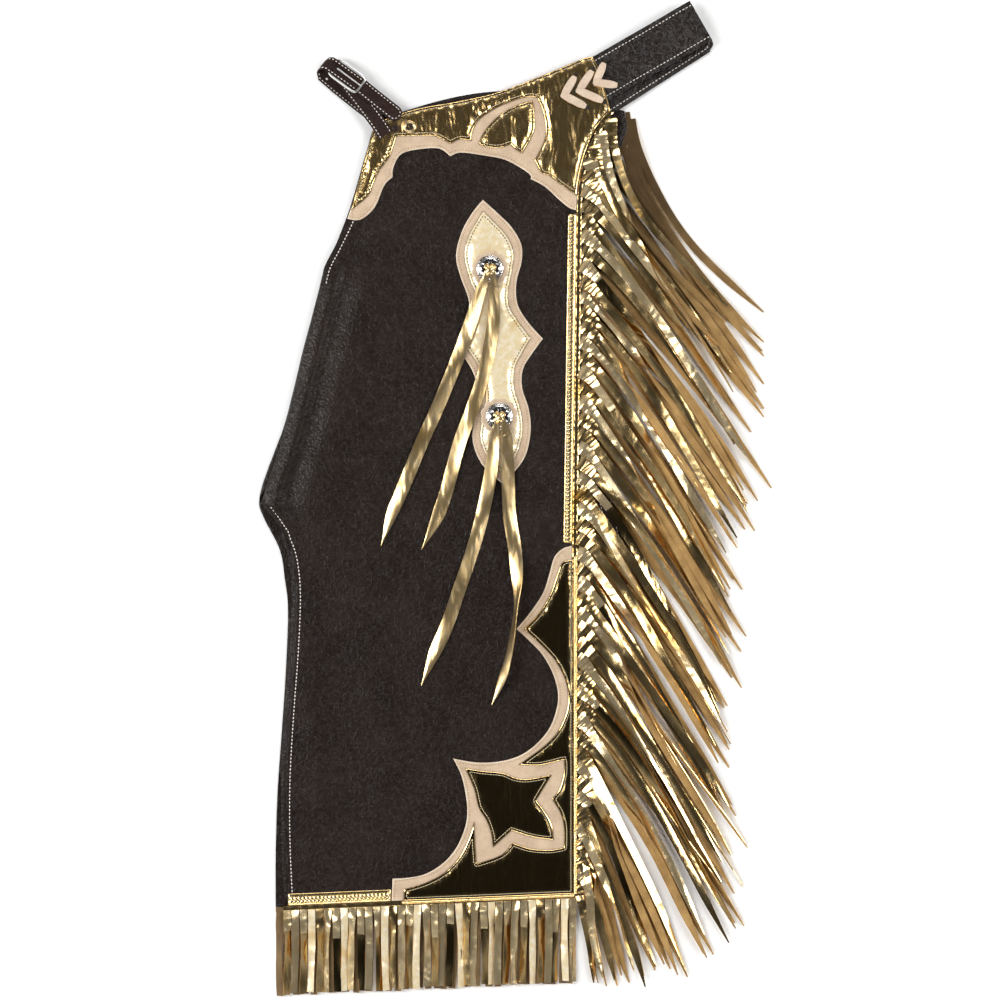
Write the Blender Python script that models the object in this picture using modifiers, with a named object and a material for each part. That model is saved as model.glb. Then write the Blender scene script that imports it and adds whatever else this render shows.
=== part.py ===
"""Western riding chaps in brown leather with gold trim, folded leg on leg and laid flat.

The top leg lies face up and the other leg lies face down under it. The waist is at +Y and the fringed
outer edge at +X. Sizes and places are millimetres in the tables, and each mesh is made in metres.
"""

import math
import random

import bmesh
import bpy
import numpy as np

MM = 0.001
GAP = 0.3  # clearance between pieces that lie on or beside each other
LEATHER = 2.0  # leg leather
TRIM = 1.2  # gold leather, tan underlays, strings and lacing
BELT_THICK = 2.4
STRAP_THICK = 1.6
EDGE_STRIP = 5.0  # width of the strip that joins the roots of a fringe
SEAM = EDGE_STRIP + GAP

LAP_HEIGHT = 5.5  # underside of the top leg above the floor
ROLL_LIFT = 5.5  # how much higher it is carried by its rolled thigh edge
ROLL_SPREAD = 50.0
TOP_ROLL = 2.25  # middle radius of the top leg's roll, and of the under leg's
UNDER_ROLL = 1.6

ON_PANEL = LAP_HEIGHT + LEATHER + GAP
ON_UNDERLAY = ON_PANEL + TRIM + GAP
ON_TRIM = ON_UNDERLAY + TRIM + GAP
ON_ROSETTE = ON_TRIM + TRIM + GAP

# One row for each section of a leg from hem to waist, seen from above: its inner end, its outer end,
# which stops at the fringe in any case, and the leather past the inner end that rolls under.
TOP_LEG = [
    # inner_x, inner_y, outer_x, outer_y, rolled
    (-241, -429.7, 65.2, -416.7, 0),
    (-244, -361, 65.2, -352, 0),
    (-244, -295, 65.2, -290, 0),
    (-240, -225, 65.2, -222, 0),
    (-235, -157, 65.2, -158, 0),
    (-233, -98, 65.2, -100, 0),
    (-237, -60, 65.2, -62, 0),
    (-246, -36, 65.6, -36, 0),
    (-257, -19, 66, -18, 0),
    (-267.7, -5, 66.2, -4, 0),
    (-265.5, 8, 66.5, 9, 9),
    (-261, 22, 66.7, 23, 22),
    (-254, 42, 67, 44, 34),
    (-247, 64, 67.4, 66, 34),
    (-240, 92, 67.8, 94, 34),
    (-232, 125, 68.3, 125, 34),
    (-224, 159, 69, 155, 34),
    (-215, 195, 69.6, 190, 32),
    (-208, 222, 70, 218, 16),
    (-202, 246, 70, 245, 0),
    (-191, 268, 70, 268, 0),
    (-176, 300, 70, 307, 0),
    (-168, 330, 70.8, 331, 0),
    (-159, 360, 72, 352, 0),
    (-149, 392, 60, 378, 0),
    (-143, 398.5, 34, 440, 0),
]
TOP_WAIST_BOW = -4.0
UNDER_LEG = [
    (-254, -431.7, 62, -418.7, 0),
    (-254, -371, 62, -358, 0),
    (-252, -308, 62, -300, 0),
    (-247.5, -244, 62, -240, 0),
    (-243.3, -181, 62, -180, 0),
    (-241, -117, 62, -118, 0),
    (-244.3, -85, 62, -86, 0),
    (-249.6, -53.5, 62, -54, 0),
    (-265.5, -21.7, 62.5, -22, 0),
    (-271.5, -5, 63, -5, 0),
    (-269, 12, 63.3, 14, 8),
    (-263, 30, 63.6, 32, 20),
    (-255.5, 50, 64, 52, 28),
    (-244.5, 80, 64.5, 82, 28),
    (-233, 125, 65, 125, 28),
    (-225, 159, 65.5, 155, 28),
    (-216, 192, 66, 188, 16),
    (-208, 220, 66.5, 215, 0),
    (-198, 250, 67, 245, 0),
    (-180, 296, 140, 288, 0),
    (-172, 320, 140, 322, 0),
    (-164, 348, 140, 349, 0),
    (-157, 372, 140, 372, 0),
    (-150, 394, 140, 393, 0),
    (-140, 404, 140, 411.5, 0),
]
UNDER_WAIST_BOW = 25.0
ACROSS = (0, 0.03, 0.06, 0.1, 0.15, 0.21, 0.29, 0.4, 0.7, 1)  # shares of a row's width
TURN_STEPS = 6

# The hidden layers between the legs, as one solid, and the groove round its edge.
INNER_LOW = LEATHER + GAP
INNER_RIGHT = 43.0
INNER_GROOVE = 1.2
RIM_RINGS = ((0.68, 0.0), (0.5, INNER_GROOVE), (0.32, 0.0))  # share of the height, how far in

# Outer edge from hip to hem, where the side fringe is cut, and the hem from left to right.
TOP_EDGE = [(103.5, 409.5), (91, 391), (81, 371), (74.5, 351), (71, 331), (70, 307), (65.2, -53), (65.2, -412)]
UNDER_EDGE = [(121, 411), (124, 393), (117, 372), (103, 349), (85, 322), (69, 288), (62, -22), (62, -414)]
TOP_HEM = [(-246, -430.2), (65.2, -417)]
UNDER_HEM = [(-254, -432), (62, -419)]

# How far outwards and down the side fringe hangs from its root.
FRINGE_FALL = [
    # root_y, reach, drop
    (-414, 12, 100),
    (-370, 42, 142),
    (-330, 72, 180),
    (-270, 112, 225),
    (-210, 162, 245),
    (-150, 160, 240),
    (-50, 148, 232),
    (50, 160, 240),
    (150, 152, 240),
    (250, 178, 238),
    (320, 165, 225),
    (360, 145, 220),
    (412, 128, 208),
]
SIDE_PITCH = 16.0
FIRST_ROOT = 8.0  # from the waist end of the edge to the middle of the first root
ROOT_WIDTH = 9.2
SIDE_STEPS = (0, 0.07, 0.17, 0.35, 0.6, 0.85, 1)  # shares of a strand's length, and its widths there
SIDE_WIDTHS = (9, 8.4, 8, 8, 8, 6.6, 1.2)
LONGEST = (271.1, 12.0)  # tip of the longest strand
LONGEST_STRAND = 10
LOWEST_TIP = -516.0
FRINGE_THICK = 1.2
UNDER_THICK = 1.1
TOP_STRIP = (5.6, 7.2)  # bottom and top of the strip that joins the strands' roots
UNDER_STRIP = (0.3, 1.8)
# Middle heights of the levels that neighbouring strands lie in: near the edge, and far from it.
TOP_LEVELS = [(6.6, 4.1), (8.5, 5.9), (10.4, 7.7)]
UNDER_LEVELS = [(0.95, 0.95), (2.4, 2.4)]
TOP_HEM_LEVELS = [(5.8, 4.3), (7.4, 5.9)]
UNDER_HEM_LEVELS = [(1.0, 0.9), (2.45, 2.4)]
HEM_STRANDS = 36
HEM_DROP = 94.0
HEM_GAP = 1.1  # between neighbouring strands of the hem

# Outlines seen from above, one row for each point that the shape needs. A corner of 1 is a cusp or a
# notch, and points with 0 lie on a smooth curve.
YOKE_UNDERLAY = [
    # x, y, corner
    (-178, 297, 1), (-164, 296, 0), (-149, 309, 0), (-139, 332, 0), (-130, 341, 1), (-129, 352, 0),
    (-120, 366, 0), (-98, 371, 0), (-80, 371, 0), (-69, 363, 1), (-58, 367, 0), (-34, 364, 0),
    (-10, 359, 0), (14, 345, 0), (16, 339, 1), (31, 331, 0), (44, 319, 0), (56, 309, 0), (64.2, 306, 1),
    (65.4, 331, 0), (68, 350, 0), (66, 368, 1), (54, 385, 0), (30, 437, 1), (-16, 424, 0), (-60, 414, 0),
    (-106, 406, 0), (-141, 397, 1),
]
YOKE = [
    (-174, 306, 1), (-156, 321, 0), (-150, 335, 0), (-143, 349, 0), (-134, 361, 0), (-129, 374, 0),
    (-126, 384, 1), (-106, 384.5, 0), (-84, 384, 0), (-69, 376, 1), (-58, 381, 0), (-46.6, 379, 1),
    (-46, 388, 0), (-38, 402, 0), (-20, 414, 0), (-1, 422, 0), (15, 426, 0), (23, 424.5, 1), (29, 410, 0),
    (32, 392, 0), (29, 376, 0), (20, 359, 1), (27, 346, 0), (35, 343, 1), (48, 333, 0), (65, 321, 1),
    (65.5, 331, 0), (69.5, 352, 0), (76, 373.5, 0), (86, 394, 0), (100.5, 411.5, 1), (95, 432, 0),
    (88, 456, 0), (82, 467.5, 1), (72.5, 466.6, 0), (32, 450, 0), (-17.8, 431, 0), (-61.7, 421, 0),
    (-105.7, 413, 0), (-143.6, 400, 1), (-149.6, 394, 0),
]
YOKE_LEAF = [
    (-39, 376, 1), (-34, 388, 0), (-20, 404, 0), (-1, 416, 0), (18, 422, 1), (20, 408, 0), (19, 388, 0),
    (7, 366, 1), (1, 369.5, 0), (-5.5, 375.5, 1), (-16, 372, 0), (-28, 372.5, 0),
]
CORNER_UNDERLAY = [
    (59.5, -49, 1), (50, -52, 0), (41, -61, 0), (36, -78, 0), (29, -99, 0), (15, -120, 0), (1, -137, 1),
    (14, -149, 0), (29, -165, 0), (41, -188, 0), (45, -212, 0), (37, -240, 0), (20.5, -260, 0),
    (2, -272, 0), (-20, -277.5, 0), (-43, -278, 0), (-66, -274, 1), (-58, -290, 0), (-53, -310, 0),
    (-51, -331, 0), (-54, -349, 0), (-63, -369, 0), (-77, -385, 0), (-95, -396, 0), (-113, -400, 0),
    (-130, -401, 1), (-131, -424.5, 1), (59.5, -416.5, 1),
]
CORNER_OVERLAY = [
    (59, -64, 1), (50, -66, 0), (44, -79, 0), (37, -99, 0), (25, -120, 0), (9, -137, 1), (26, -153, 0),
    (43, -172, 0), (54, -196, 0), (55, -220, 0), (46, -243, 0), (31, -260, 0), (3, -280.5, 1), (26, -281, 0),
    (51, -275, 1), (51, -290, 0), (46, -307, 0), (38.5, -316.5, 1), (47, -331, 0), (51, -346, 0),
    (51, -368, 1), (36, -370.5, 0), (15, -369, 0), (-3, -363, 1), (-15.5, -376, 0), (-41, -385, 1),
    (-42.5, -364, 0), (-43.6, -340, 1), (-49, -358, 0), (-60, -379, 0), (-76, -395, 0), (-96, -405.5, 0),
    (-118, -412, 1), (-118.5, -424, 1), (59, -416.5, 1),
]
CORNER_STAR = [
    (-53.5, -284, 1), (-35, -287, 0), (-14, -289, 0), (-1, -294, 0), (13, -295.5, 0), (38.5, -291, 1),
    (22, -318, 1), (33, -333, 0), (39, -346, 0), (40.5, -360, 1), (18, -357, 0), (-4, -350, 1),
    (-14, -359, 0), (-24, -368, 1), (-26, -353, 0), (-31, -339, 0), (-39, -326, 0), (-44, -306, 0),
]
PLATE_UNDERLAY = [
    (-34.6, 317, 1), (-20, 304, 0), (-4, 288, 0), (6, 270, 0), (6.5, 252, 0), (1, 230, 0), (2, 207, 0),
    (13, 188, 0), (29, 170, 1), (18, 155, 0), (8, 138, 0), (7, 118, 0), (14, 96, 0), (16, 72, 0),
    (9, 43, 0), (-13, 16, 1), (-36, 38, 0), (-46, 68, 0), (-39, 108, 0), (-46, 137, 0), (-63, 161, 1),
    (-55, 185, 0), (-49, 208, 0), (-58, 235, 0), (-63, 258, 0), (-57, 283, 0), (-46, 303, 0),
]
PLATE = [
    (-34.5, 305, 1), (-22, 293, 0), (-8, 277, 0), (-2, 259, 0), (-5, 236, 0), (-8.5, 214, 0), (-3, 197, 0),
    (16, 170.5, 1), (7, 155, 0), (-1, 138, 0), (-1.5, 117, 0), (5, 96, 0), (7.5, 72, 0), (1, 47, 0),
    (-13, 27, 1), (-29, 43, 0), (-37.5, 68, 0), (-31, 106, 0), (-37, 137, 0), (-52.5, 161, 1),
    (-46, 185, 0), (-40.5, 210, 0), (-49, 235, 0), (-54, 258, 0), (-49, 280, 0),
]

# Gold strings, from under the concho to the knife-cut tip.
STRING_WIDTH = 14.0
STRING_A = [
    # x, y, underside
    (-33.5, 240, ON_ROSETTE), (-36, 222, ON_ROSETTE), (-48, 185, ON_TRIM), (-62, 147, ON_TRIM),
    (-80, 103, ON_PANEL), (-98, 63, ON_PANEL), (-117, 16, ON_PANEL), (-142, -49, ON_PANEL),
]
STRING_B = [
    (-24.5, 240, ON_ROSETTE), (-22.5, 222, ON_ROSETTE), (-24, 185, ON_TRIM), (-32, 138, ON_TRIM),
    (-47, 92, ON_TRIM), (-59, 60, ON_PANEL), (-74, 8, ON_PANEL), (-99.5, -53, ON_PANEL),
]
STRING_C = [
    (-21, 84, ON_ROSETTE), (-22.5, 66, ON_ROSETTE), (-26, 29, ON_TRIM), (-35, -16, ON_PANEL),
    (-45, -52, ON_PANEL), (-60, -96, ON_PANEL), (-76, -144, ON_PANEL), (-99.5, -197, ON_PANEL),
]
STRING_D = [
    (-12, 84, ON_ROSETTE), (-9, 66, ON_ROSETTE), (-8, 26, ON_TRIM), (-6, -18, ON_PANEL),
    (0, -58, ON_PANEL), (2, -104, ON_TRIM), (-7, -160, ON_TRIM), (-25, -217, ON_PANEL),
]
ROSETTES = {"upper": (-27, 244), "lower": (-17, 88)}
ROSETTE_RADIUS = 20.0
ROSETTE_LOBES = 12
CONCHO_PROFILE = [
    # radius, height
    (0, 3.4), (5, 3.2), (9, 2.6), (12, 1.7), (13.4, 1.1), (14.4, 0.9), (14.4, 0), (0, 0),
]
GROMMET = (-112, 394)
GROMMET_PROFILE = [(4.3, 0.7), (5.5, 1.3), (6.9, 0.6), (6.9, 0), (4.3, 0)]
RIVET = (-127, 392.5)
RIVET_PROFILE = [(0, 1.3), (2.6, 1.1), (4.2, 0.4), (4.2, 0), (0, 0)]

BELT_WIDTH = 48.0
BELT_TOP = [
    # x, y, middle height, heading in degrees
    (46.5, 420.5, 7.5, 29.8), (72, 435, 7.5, 29.8), (98, 450, 7.6, 29.8), (126, 466, 9, 29.8),
    (156, 483, 11.2, 29.8), (193.2, 504.7, 12.2, 29.8),
]
BELT_LOW = [
    (191, 493.2, 1.2, 32.2), (158, 472, 1.2, 32.2), (140, 460.5, 1.4, 32.2), (126, 451.5, 2.6, 32.2),
    (112, 442.5, 3.5, 32.2), (60, 409.5, 3.5, 32.2),
]
FOLD_STEPS = 8
CHEVRONS = [
    # upper end, vertex, lower end
    ((62, 446), (51, 427), (73, 416)),
    ((80, 452), (67, 432), (91, 422)),
    ((93, 460), (85, 440.5), (106, 438)),
]
LACE_WIDTH = 7.0

STRAP_WIDTH = 13.0
BILLET_TOP = [
    (-128, 408.6, 11.6, -39), (-140, 418, 11.7, -38), (-152, 427.6, 11.5, -37), (-163.4, 436.8, 11.4, -36.5),
    (-178, 447.6, 11.7, -36.5), (-192.2, 457.6, 12.2, -37), (-197.5, 461, 12.2, -40),
]
BILLET_LOW = [
    (-203, 450.5, 1.2, -38), (-188, 437.5, 1.2, -37), (-172, 424.5, 1.7, -37), (-160, 415, 3.0, -37),
    (-148, 406, 3.3, -37), (-133, 394, 3.3, -37),
]
BUCKLE_STRAP = [
    (-137, 385, 11.7, -55), (-143, 394.5, 11.7, -56), (-149, 403, 11.6, -54), (-155, 411, 10.6, -53),
    (-163, 421.5, 9.4, -52), (-176, 438.5, 8.9, -48), (-188, 454.6, 8.9, -37),
]
BUCKLE_CENTRE = (-177.8, 447.6)
BUCKLE_HEADING = -36.5
BUCKLE_LENGTH = 36.0
BUCKLE_WIDTH = 18.0
BUCKLE_WIRE = 1.0
HEEL_BAR = 10.0  # heights of the bar that the strap holds and of the one that the tongue rests on
FRONT_BAR = 13.5
LEG_STRAP = [
    # x, y, middle height, heading
    (54.5, 184, 4.3, -71), (64, 150, 4.3, -73), (74, 98, 4.3, -76), (86, 40, 4.3, -76),
    (101, -29, 4.3, -77), (113, -84, 4.3, -78),
]
LEG_STRAP_WIDTH = 16.0

BROWN = (0.030, 0.022, 0.018)
BELT_BROWN = (0.040, 0.030, 0.027)
STRAP_BROWN = (0.055, 0.032, 0.024)
GOLD = (0.52, 0.38, 0.16)
TAN = (0.68, 0.54, 0.38)
SUEDE = (0.47, 0.28, 0.13)
SILVER = (0.75, 0.74, 0.72)


def smooth(t):
    """Rises from 0 to 1 with level ends."""
    t = np.clip(t, 0, 1)
    return t * t * (3 - 2 * t)


def start_scene():
    for obj in list(bpy.data.objects):
        bpy.data.objects.remove(obj, do_unlink=True)
    collection = bpy.data.collections.new("leather_chaps")
    bpy.context.scene.collection.children.link(collection)
    return collection


def finish(name, colour, roughness, metallic=0.0):
    material = bpy.data.materials.new(name)
    material.use_nodes = True
    shader = material.node_tree.nodes["Principled BSDF"]
    shader.inputs["Base Color"].default_value = (*colour, 1)
    shader.inputs["Roughness"].default_value = roughness
    shader.inputs["Metallic"].default_value = metallic
    return material


CHAPS = start_scene()
FINISHES = {
    "leather": finish("leather", BROWN, 0.5),
    "belt": finish("belt", BELT_BROWN, 0.5),
    "strap": finish("strap", STRAP_BROWN, 0.5),
    "gold": finish("gold", GOLD, 0.25, 1.0),
    "tan": finish("tan", TAN, 0.8),
    "suede": finish("suede", SUEDE, 0.9),
    "silver": finish("silver", SILVER, 0.15, 1.0),
}


def add(name, data, material):
    obj = bpy.data.objects.new(name, data)
    data.materials.append(FINISHES[material])
    CHAPS.objects.link(obj)
    return obj


def mesh_from(name, points, faces, recalculate=False):
    """A mesh from millimetre points, with meeting points merged."""
    mesh = bpy.data.meshes.new(name)
    mesh.from_pydata([tuple(float(v) * MM for v in p) for p in points], [], faces)
    work = bmesh.new()
    work.from_mesh(mesh)
    bmesh.ops.remove_doubles(work, verts=work.verts, dist=1e-6)
    if recalculate:
        bmesh.ops.recalc_face_normals(work, faces=work.faces)
    work.to_mesh(mesh)
    work.free()
    return mesh


def solidify(obj, thickness):
    wall = obj.modifiers.new("wall", "SOLIDIFY")
    wall.thickness = thickness * MM
    wall.offset = 0
    return obj


def grid_faces(rows, columns):
    at = lambda r, c: r * columns + c
    return [
        (at(r, c), at(r, c + 1), at(r + 1, c + 1), at(r + 1, c))
        for r in range(rows - 1)
        for c in range(columns - 1)
    ]


def smooth_run(points, steps):
    """Catmull-Rom curve through an open run of points, without its last point."""
    p = np.array([points[0], *points, points[-1]], float)
    t = np.linspace(0, 1, steps, endpoint=False)[:, None]
    made = []
    for a, b, c, d in zip(p, p[1:], p[2:], p[3:]):
        made.append(
            0.5 * (2 * b + (c - a) * t + (2 * a - 5 * b + 4 * c - d) * t**2 + (3 * b - a - 3 * c + d) * t**3)
        )
    return np.concatenate(made)


def outline(rows, steps=3):
    """Closed outline: a smooth curve from each corner to the next through the points between."""
    corners = [i for i, row in enumerate(rows) if row[2]]
    made = []
    for start, end in zip(corners, corners[1:] + [corners[0] + len(rows)]):
        run = [rows[i % len(rows)][:2] for i in range(start, end + 1)]
        made.append(smooth_run(run, steps if len(run) > 2 else 1))
    return np.concatenate(made)


def flat_piece(name, points, underside, thickness, material):
    """A flat cut piece: a filled 2D curve extruded to its thickness."""
    curve = bpy.data.curves.new(name, "CURVE")
    curve.dimensions = "2D"
    curve.fill_mode = "BOTH"
    curve.extrude = thickness / 2 * MM
    spline = curve.splines.new("POLY")
    spline.points.add(len(points) - 1)
    for spot, (x, y) in zip(spline.points, points):
        spot.co = (x * MM, y * MM, 0, 1)
    spline.use_cyclic_u = True
    obj = add(name, curve, material)
    obj.location.z = (underside + thickness / 2) * MM
    return obj


def turned(name, profile, centre, underside, material, steps=24):
    """A round piece: its profile, in radius and height, turned about a vertical axis."""
    mesh = bpy.data.meshes.new(name)
    points = [(r * MM, 0, z * MM) for r, z in profile]
    edges = [(i, i + 1) for i in range(len(points) - 1)]
    if profile[0][0] > 0:
        edges.append((len(points) - 1, 0))
    mesh.from_pydata(points, edges, [])
    obj = add(name, mesh, material)
    obj.location = (centre[0] * MM, centre[1] * MM, underside * MM)
    screw = obj.modifiers.new("turn", "SCREW")
    screw.steps = steps
    screw.render_steps = steps
    screw.use_merge_vertices = True
    screw.merge_threshold = 1e-5
    screw.use_smooth_shade = True
    return obj


def offset_line(points, distance):
    """The line moved sideways to its left by a distance, mitred at its bends."""
    p = np.array(points, float)
    along = np.diff(p, axis=0)
    along /= np.linalg.norm(along, axis=1)[:, None]
    side = np.stack([-along[:, 1], along[:, 0]], 1)
    mitre = np.concatenate([side[:1], side[:-1] + side[1:], side[-1:]])
    mitre /= np.linalg.norm(mitre, axis=1)[:, None]
    reach = distance / (mitre * np.concatenate([side[:1], side])).sum(1)
    return p + mitre * reach[:, None]


def lift_window(y):
    """1 along the rolled thigh edge, 0 above and below it."""
    return smooth((y + 44) / 46) * smooth((266 - y) / 50)


def top_height(x, y):
    """Underside of the top leg: raised in a soft bulge along its rolled thigh edge."""
    table = np.array(TOP_LEG)
    inner = np.interp(y, table[:, 1], table[:, 0])
    return LAP_HEIGHT + ROLL_LIFT * lift_window(y) * np.exp(-(((x - inner) / ROLL_SPREAD) ** 2))


def under_height(x, y):
    return np.zeros_like(x)


def leg_grid(rows, edge, waist_bow, height, radius, turn):
    """Middle surface of a leg: each row runs from its rolled edge, round the roll, to the outer edge."""
    across = np.array(ACROSS)
    cut = offset_line(edge, -SEAM - GAP)[::-1]
    made = []
    for i, (ix, iy, ox, oy, rolled) in enumerate(rows):
        sweep = min(rolled / radius, math.pi)
        fold_x = ix + (radius + LEATHER / 2) * math.sin(min(sweep, math.pi / 2))
        flap = max(0.0, rolled - math.pi * radius)
        bow = waist_bow if i == len(rows) - 1 else 0.0
        end_x = min(ox - SEAM, np.interp(oy, cut[:, 1], cut[:, 0]))
        x = fold_x + (end_x - fold_x) * across
        y = iy + (oy - iy) * across + bow * np.sin(math.pi * across)
        flat = np.stack([x, y, height(x, y) + LEATHER / 2], 1)
        angles = sweep * np.arange(TURN_STEPS, 0, -1) / TURN_STEPS
        angles = np.concatenate([[sweep], angles])
        run = np.zeros(len(angles))
        run[0] = flap
        roll = np.stack(
            [
                fold_x - radius * np.sin(angles) + run,
                np.full(len(angles), float(iy)),
                flat[0, 2] + turn * radius * (1 - np.cos(angles)),
            ],
            1,
        )
        made.append(np.concatenate([roll, flat]))
    return np.array(made)


def leg(name, grid):
    rows, columns = grid.shape[:2]
    mesh = mesh_from(name, grid.reshape(-1, 3), grid_faces(rows, columns))
    mesh.shade_smooth()
    return solidify(add(name, mesh, "leather"), LEATHER)


def inner_grid(rows):
    """Upper face of the hidden layers, a little under the top leg's own underside."""
    made = []
    for ix, iy, ox, oy, _ in rows:
        window = float(lift_window(iy))
        left = ix + 2.5 + 35 * window + 25 * float(smooth((iy - 350) / 30))
        right = min(INNER_RIGHT, ox - SEAM - 9)
        share = (np.array([left, right]) - ix) / (ox - ix)
        ends = iy + (oy - iy) * share
        across = np.array(ACROSS)
        x = left + (right - left) * across
        y = ends[0] + (ends[1] - ends[0]) * across
        low = top_height(x, y) - GAP - 0.35 * window
        made.append(np.stack([x, y, low], 1))
    made = np.array(made)
    made[0, :, 1] += 3
    made[-1, :, 1] -= 12
    return made


def inner_layers():
    """The folded flaps and hidden layers as one solid, grooved round its edge where two layers part."""
    top = inner_grid(TOP_LEG)
    rows, columns = top.shape[:2]
    bottom = top.copy()
    bottom[..., 2] = INNER_LOW
    count = rows * columns
    at = lambda r, c: r * columns + c
    rim = [at(0, c) for c in range(columns)] + [at(r, columns - 1) for r in range(1, rows)]
    rim += [at(rows - 1, c) for c in range(columns - 2, -1, -1)] + [at(r, 0) for r in range(rows - 2, 0, -1)]
    edge = top.reshape(-1, 3)[rim]
    along = np.roll(edge, -1, 0) - np.roll(edge, 1, 0)
    inward = np.stack([-along[:, 1], along[:, 0]], 1)
    inward /= np.linalg.norm(inward, axis=1)[:, None]
    rings = []
    for share, inset in RIM_RINGS:
        ring = edge.copy()
        ring[:, 2] = INNER_LOW + (edge[:, 2] - INNER_LOW) * share
        ring[:, :2] += inward * inset
        rings.append(ring)
    points = np.concatenate([top.reshape(-1, 3), bottom.reshape(-1, 3), *rings])
    loops = [rim] + [[2 * count + k * len(rim) + i for i in range(len(rim))] for k in range(3)]
    loops.append([count + i for i in rim])
    faces = grid_faces(rows, columns)
    faces += [tuple(count + i for i in reversed(face)) for face in grid_faces(rows, columns)]
    for upper, lower in zip(loops, loops[1:]):
        for i in range(len(rim)):
            j = (i + 1) % len(rim)
            faces.append((upper[i], lower[i], lower[j], upper[j]))
    add("inner_layers", mesh_from("inner_layers", points, faces, recalculate=True), "leather")


def ribbon(name, stations, widths, thickness, material):
    """A strap: a band level from side to side, carried along its stations."""
    points = []
    for (x, y, z, heading), width in zip(stations, widths):
        turn = math.radians(heading + 90)
        for side in (-0.5, 0, 0.5):
            points.append((x + side * width * math.cos(turn), y + side * width * math.sin(turn), z))
    mesh = mesh_from(name, points, grid_faces(len(stations), 3))
    mesh.shade_smooth()
    return solidify(add(name, mesh, material), thickness)


def fold_over(top, low, steps):
    """The half turn between the last top station and the first low one, out past both of them."""
    x0, y0, z0, h0 = top
    x1, y1, z1, h1 = low
    radius = (z0 - z1) / 2
    made = []
    for k in range(1, steps):
        angle = math.pi * k / steps
        share = k / steps
        heading = h0 + (h1 - h0) * share
        out = radius * math.sin(angle)
        away = 1 if x0 > 0 else -1
        x = x0 + (x1 - x0) * share + away * out * math.cos(math.radians(heading))
        y = y0 + (y1 - y0) * share + away * out * math.sin(math.radians(heading))
        made.append((x, y, (z0 + z1) / 2 + radius * math.cos(angle), heading))
    return made


def round_end(station, away, width, steps=4):
    """Stations and widths that round off a strap's end, beyond the given station."""
    x, y, z, heading = station
    stations, widths = [], []
    for k in range(steps, 0, -1):
        angle = math.pi / 2 * (k - 0.35) / steps
        out = away * width / 2 * math.sin(angle)
        spot = (x + out * math.cos(math.radians(heading)), y + out * math.sin(math.radians(heading)))
        stations.append((*spot, z, heading))
        widths.append(width * math.cos(angle))
    return stations, widths


def back_belt():
    stations = BELT_TOP + fold_over(BELT_TOP[-1], BELT_LOW[0], FOLD_STEPS) + BELT_LOW
    ribbon("back_belt", stations, [BELT_WIDTH] * len(stations), BELT_THICK, "belt")


def billet_strap():
    stations = BILLET_TOP + fold_over(BILLET_TOP[-1], BILLET_LOW[0], FOLD_STEPS) + BILLET_LOW
    tip, tip_widths = round_end(BILLET_TOP[0], 1, STRAP_WIDTH)
    ribbon(
        "billet_strap",
        tip + stations,
        tip_widths + [STRAP_WIDTH] * len(stations),
        STRAP_THICK,
        "strap",
    )


def buckle_strap():
    widths = [STRAP_WIDTH - 2] + [STRAP_WIDTH] * (len(BUCKLE_STRAP) - 1)
    ribbon("buckle_strap", BUCKLE_STRAP, widths, STRAP_THICK, "strap")


def leg_strap():
    tip, tip_widths = round_end(LEG_STRAP[-1], 1, LEG_STRAP_WIDTH)
    stations = LEG_STRAP + tip[::-1]
    widths = [LEG_STRAP_WIDTH] * len(LEG_STRAP) + tip_widths[::-1]
    ribbon("leg_strap", stations, widths, STRAP_THICK, "strap")


def wire(name, points, radius, closed, material):
    """A bent round wire through the given points."""
    curve = bpy.data.curves.new(name, "CURVE")
    curve.dimensions = "3D"
    curve.bevel_depth = radius * MM
    curve.bevel_resolution = 2
    curve.use_fill_caps = not closed
    spline = curve.splines.new("POLY")
    spline.points.add(len(points) - 1)
    for spot, (x, y, z) in zip(spline.points, points):
        spot.co = (x * MM, y * MM, z * MM, 1)
    spline.use_cyclic_u = closed
    return add(name, curve, material)


def on_buckle(along, aside, lift=0.0):
    """A place on the tilted buckle, from its centre, along and across the strap."""
    turn = math.radians(BUCKLE_HEADING)
    x = BUCKLE_CENTRE[0] + along * math.cos(turn) - aside * math.sin(turn)
    y = BUCKLE_CENTRE[1] + along * math.sin(turn) + aside * math.cos(turn)
    share = along / BUCKLE_LENGTH + 0.5
    return (x, y, HEEL_BAR + (FRONT_BAR - HEEL_BAR) * share + lift)


def buckle():
    corner = 2.5
    frame = []
    for quarter, (sx, sy) in enumerate(((1, 1), (-1, 1), (-1, -1), (1, -1))):
        for step in range(4):
            angle = math.pi / 2 * (quarter + step / 3)
            along = sx * (BUCKLE_LENGTH / 2 - corner) + corner * math.cos(angle)
            aside = sy * (BUCKLE_WIDTH / 2 - corner) + corner * math.sin(angle)
            frame.append(on_buckle(along, aside))
    wire("buckle_frame", frame, BUCKLE_WIRE, True, "silver")
    rest = BUCKLE_LENGTH / 2
    tongue = [
        on_buckle(-rest + 5, 0, 3.7),
        on_buckle(-2, 0, 2.7),
        on_buckle(rest - 4, 0, 2 * BUCKLE_WIRE),
        on_buckle(rest + 0.5, 0, 2 * BUCKLE_WIRE),
    ]
    wire("buckle_tongue", tongue, 0.7, False, "silver")


def band_outline(points, width):
    """Outline of a band of even width along a bent line."""
    return np.concatenate([offset_line(points, width / 2), offset_line(points, -width / 2)[::-1]])


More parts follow.
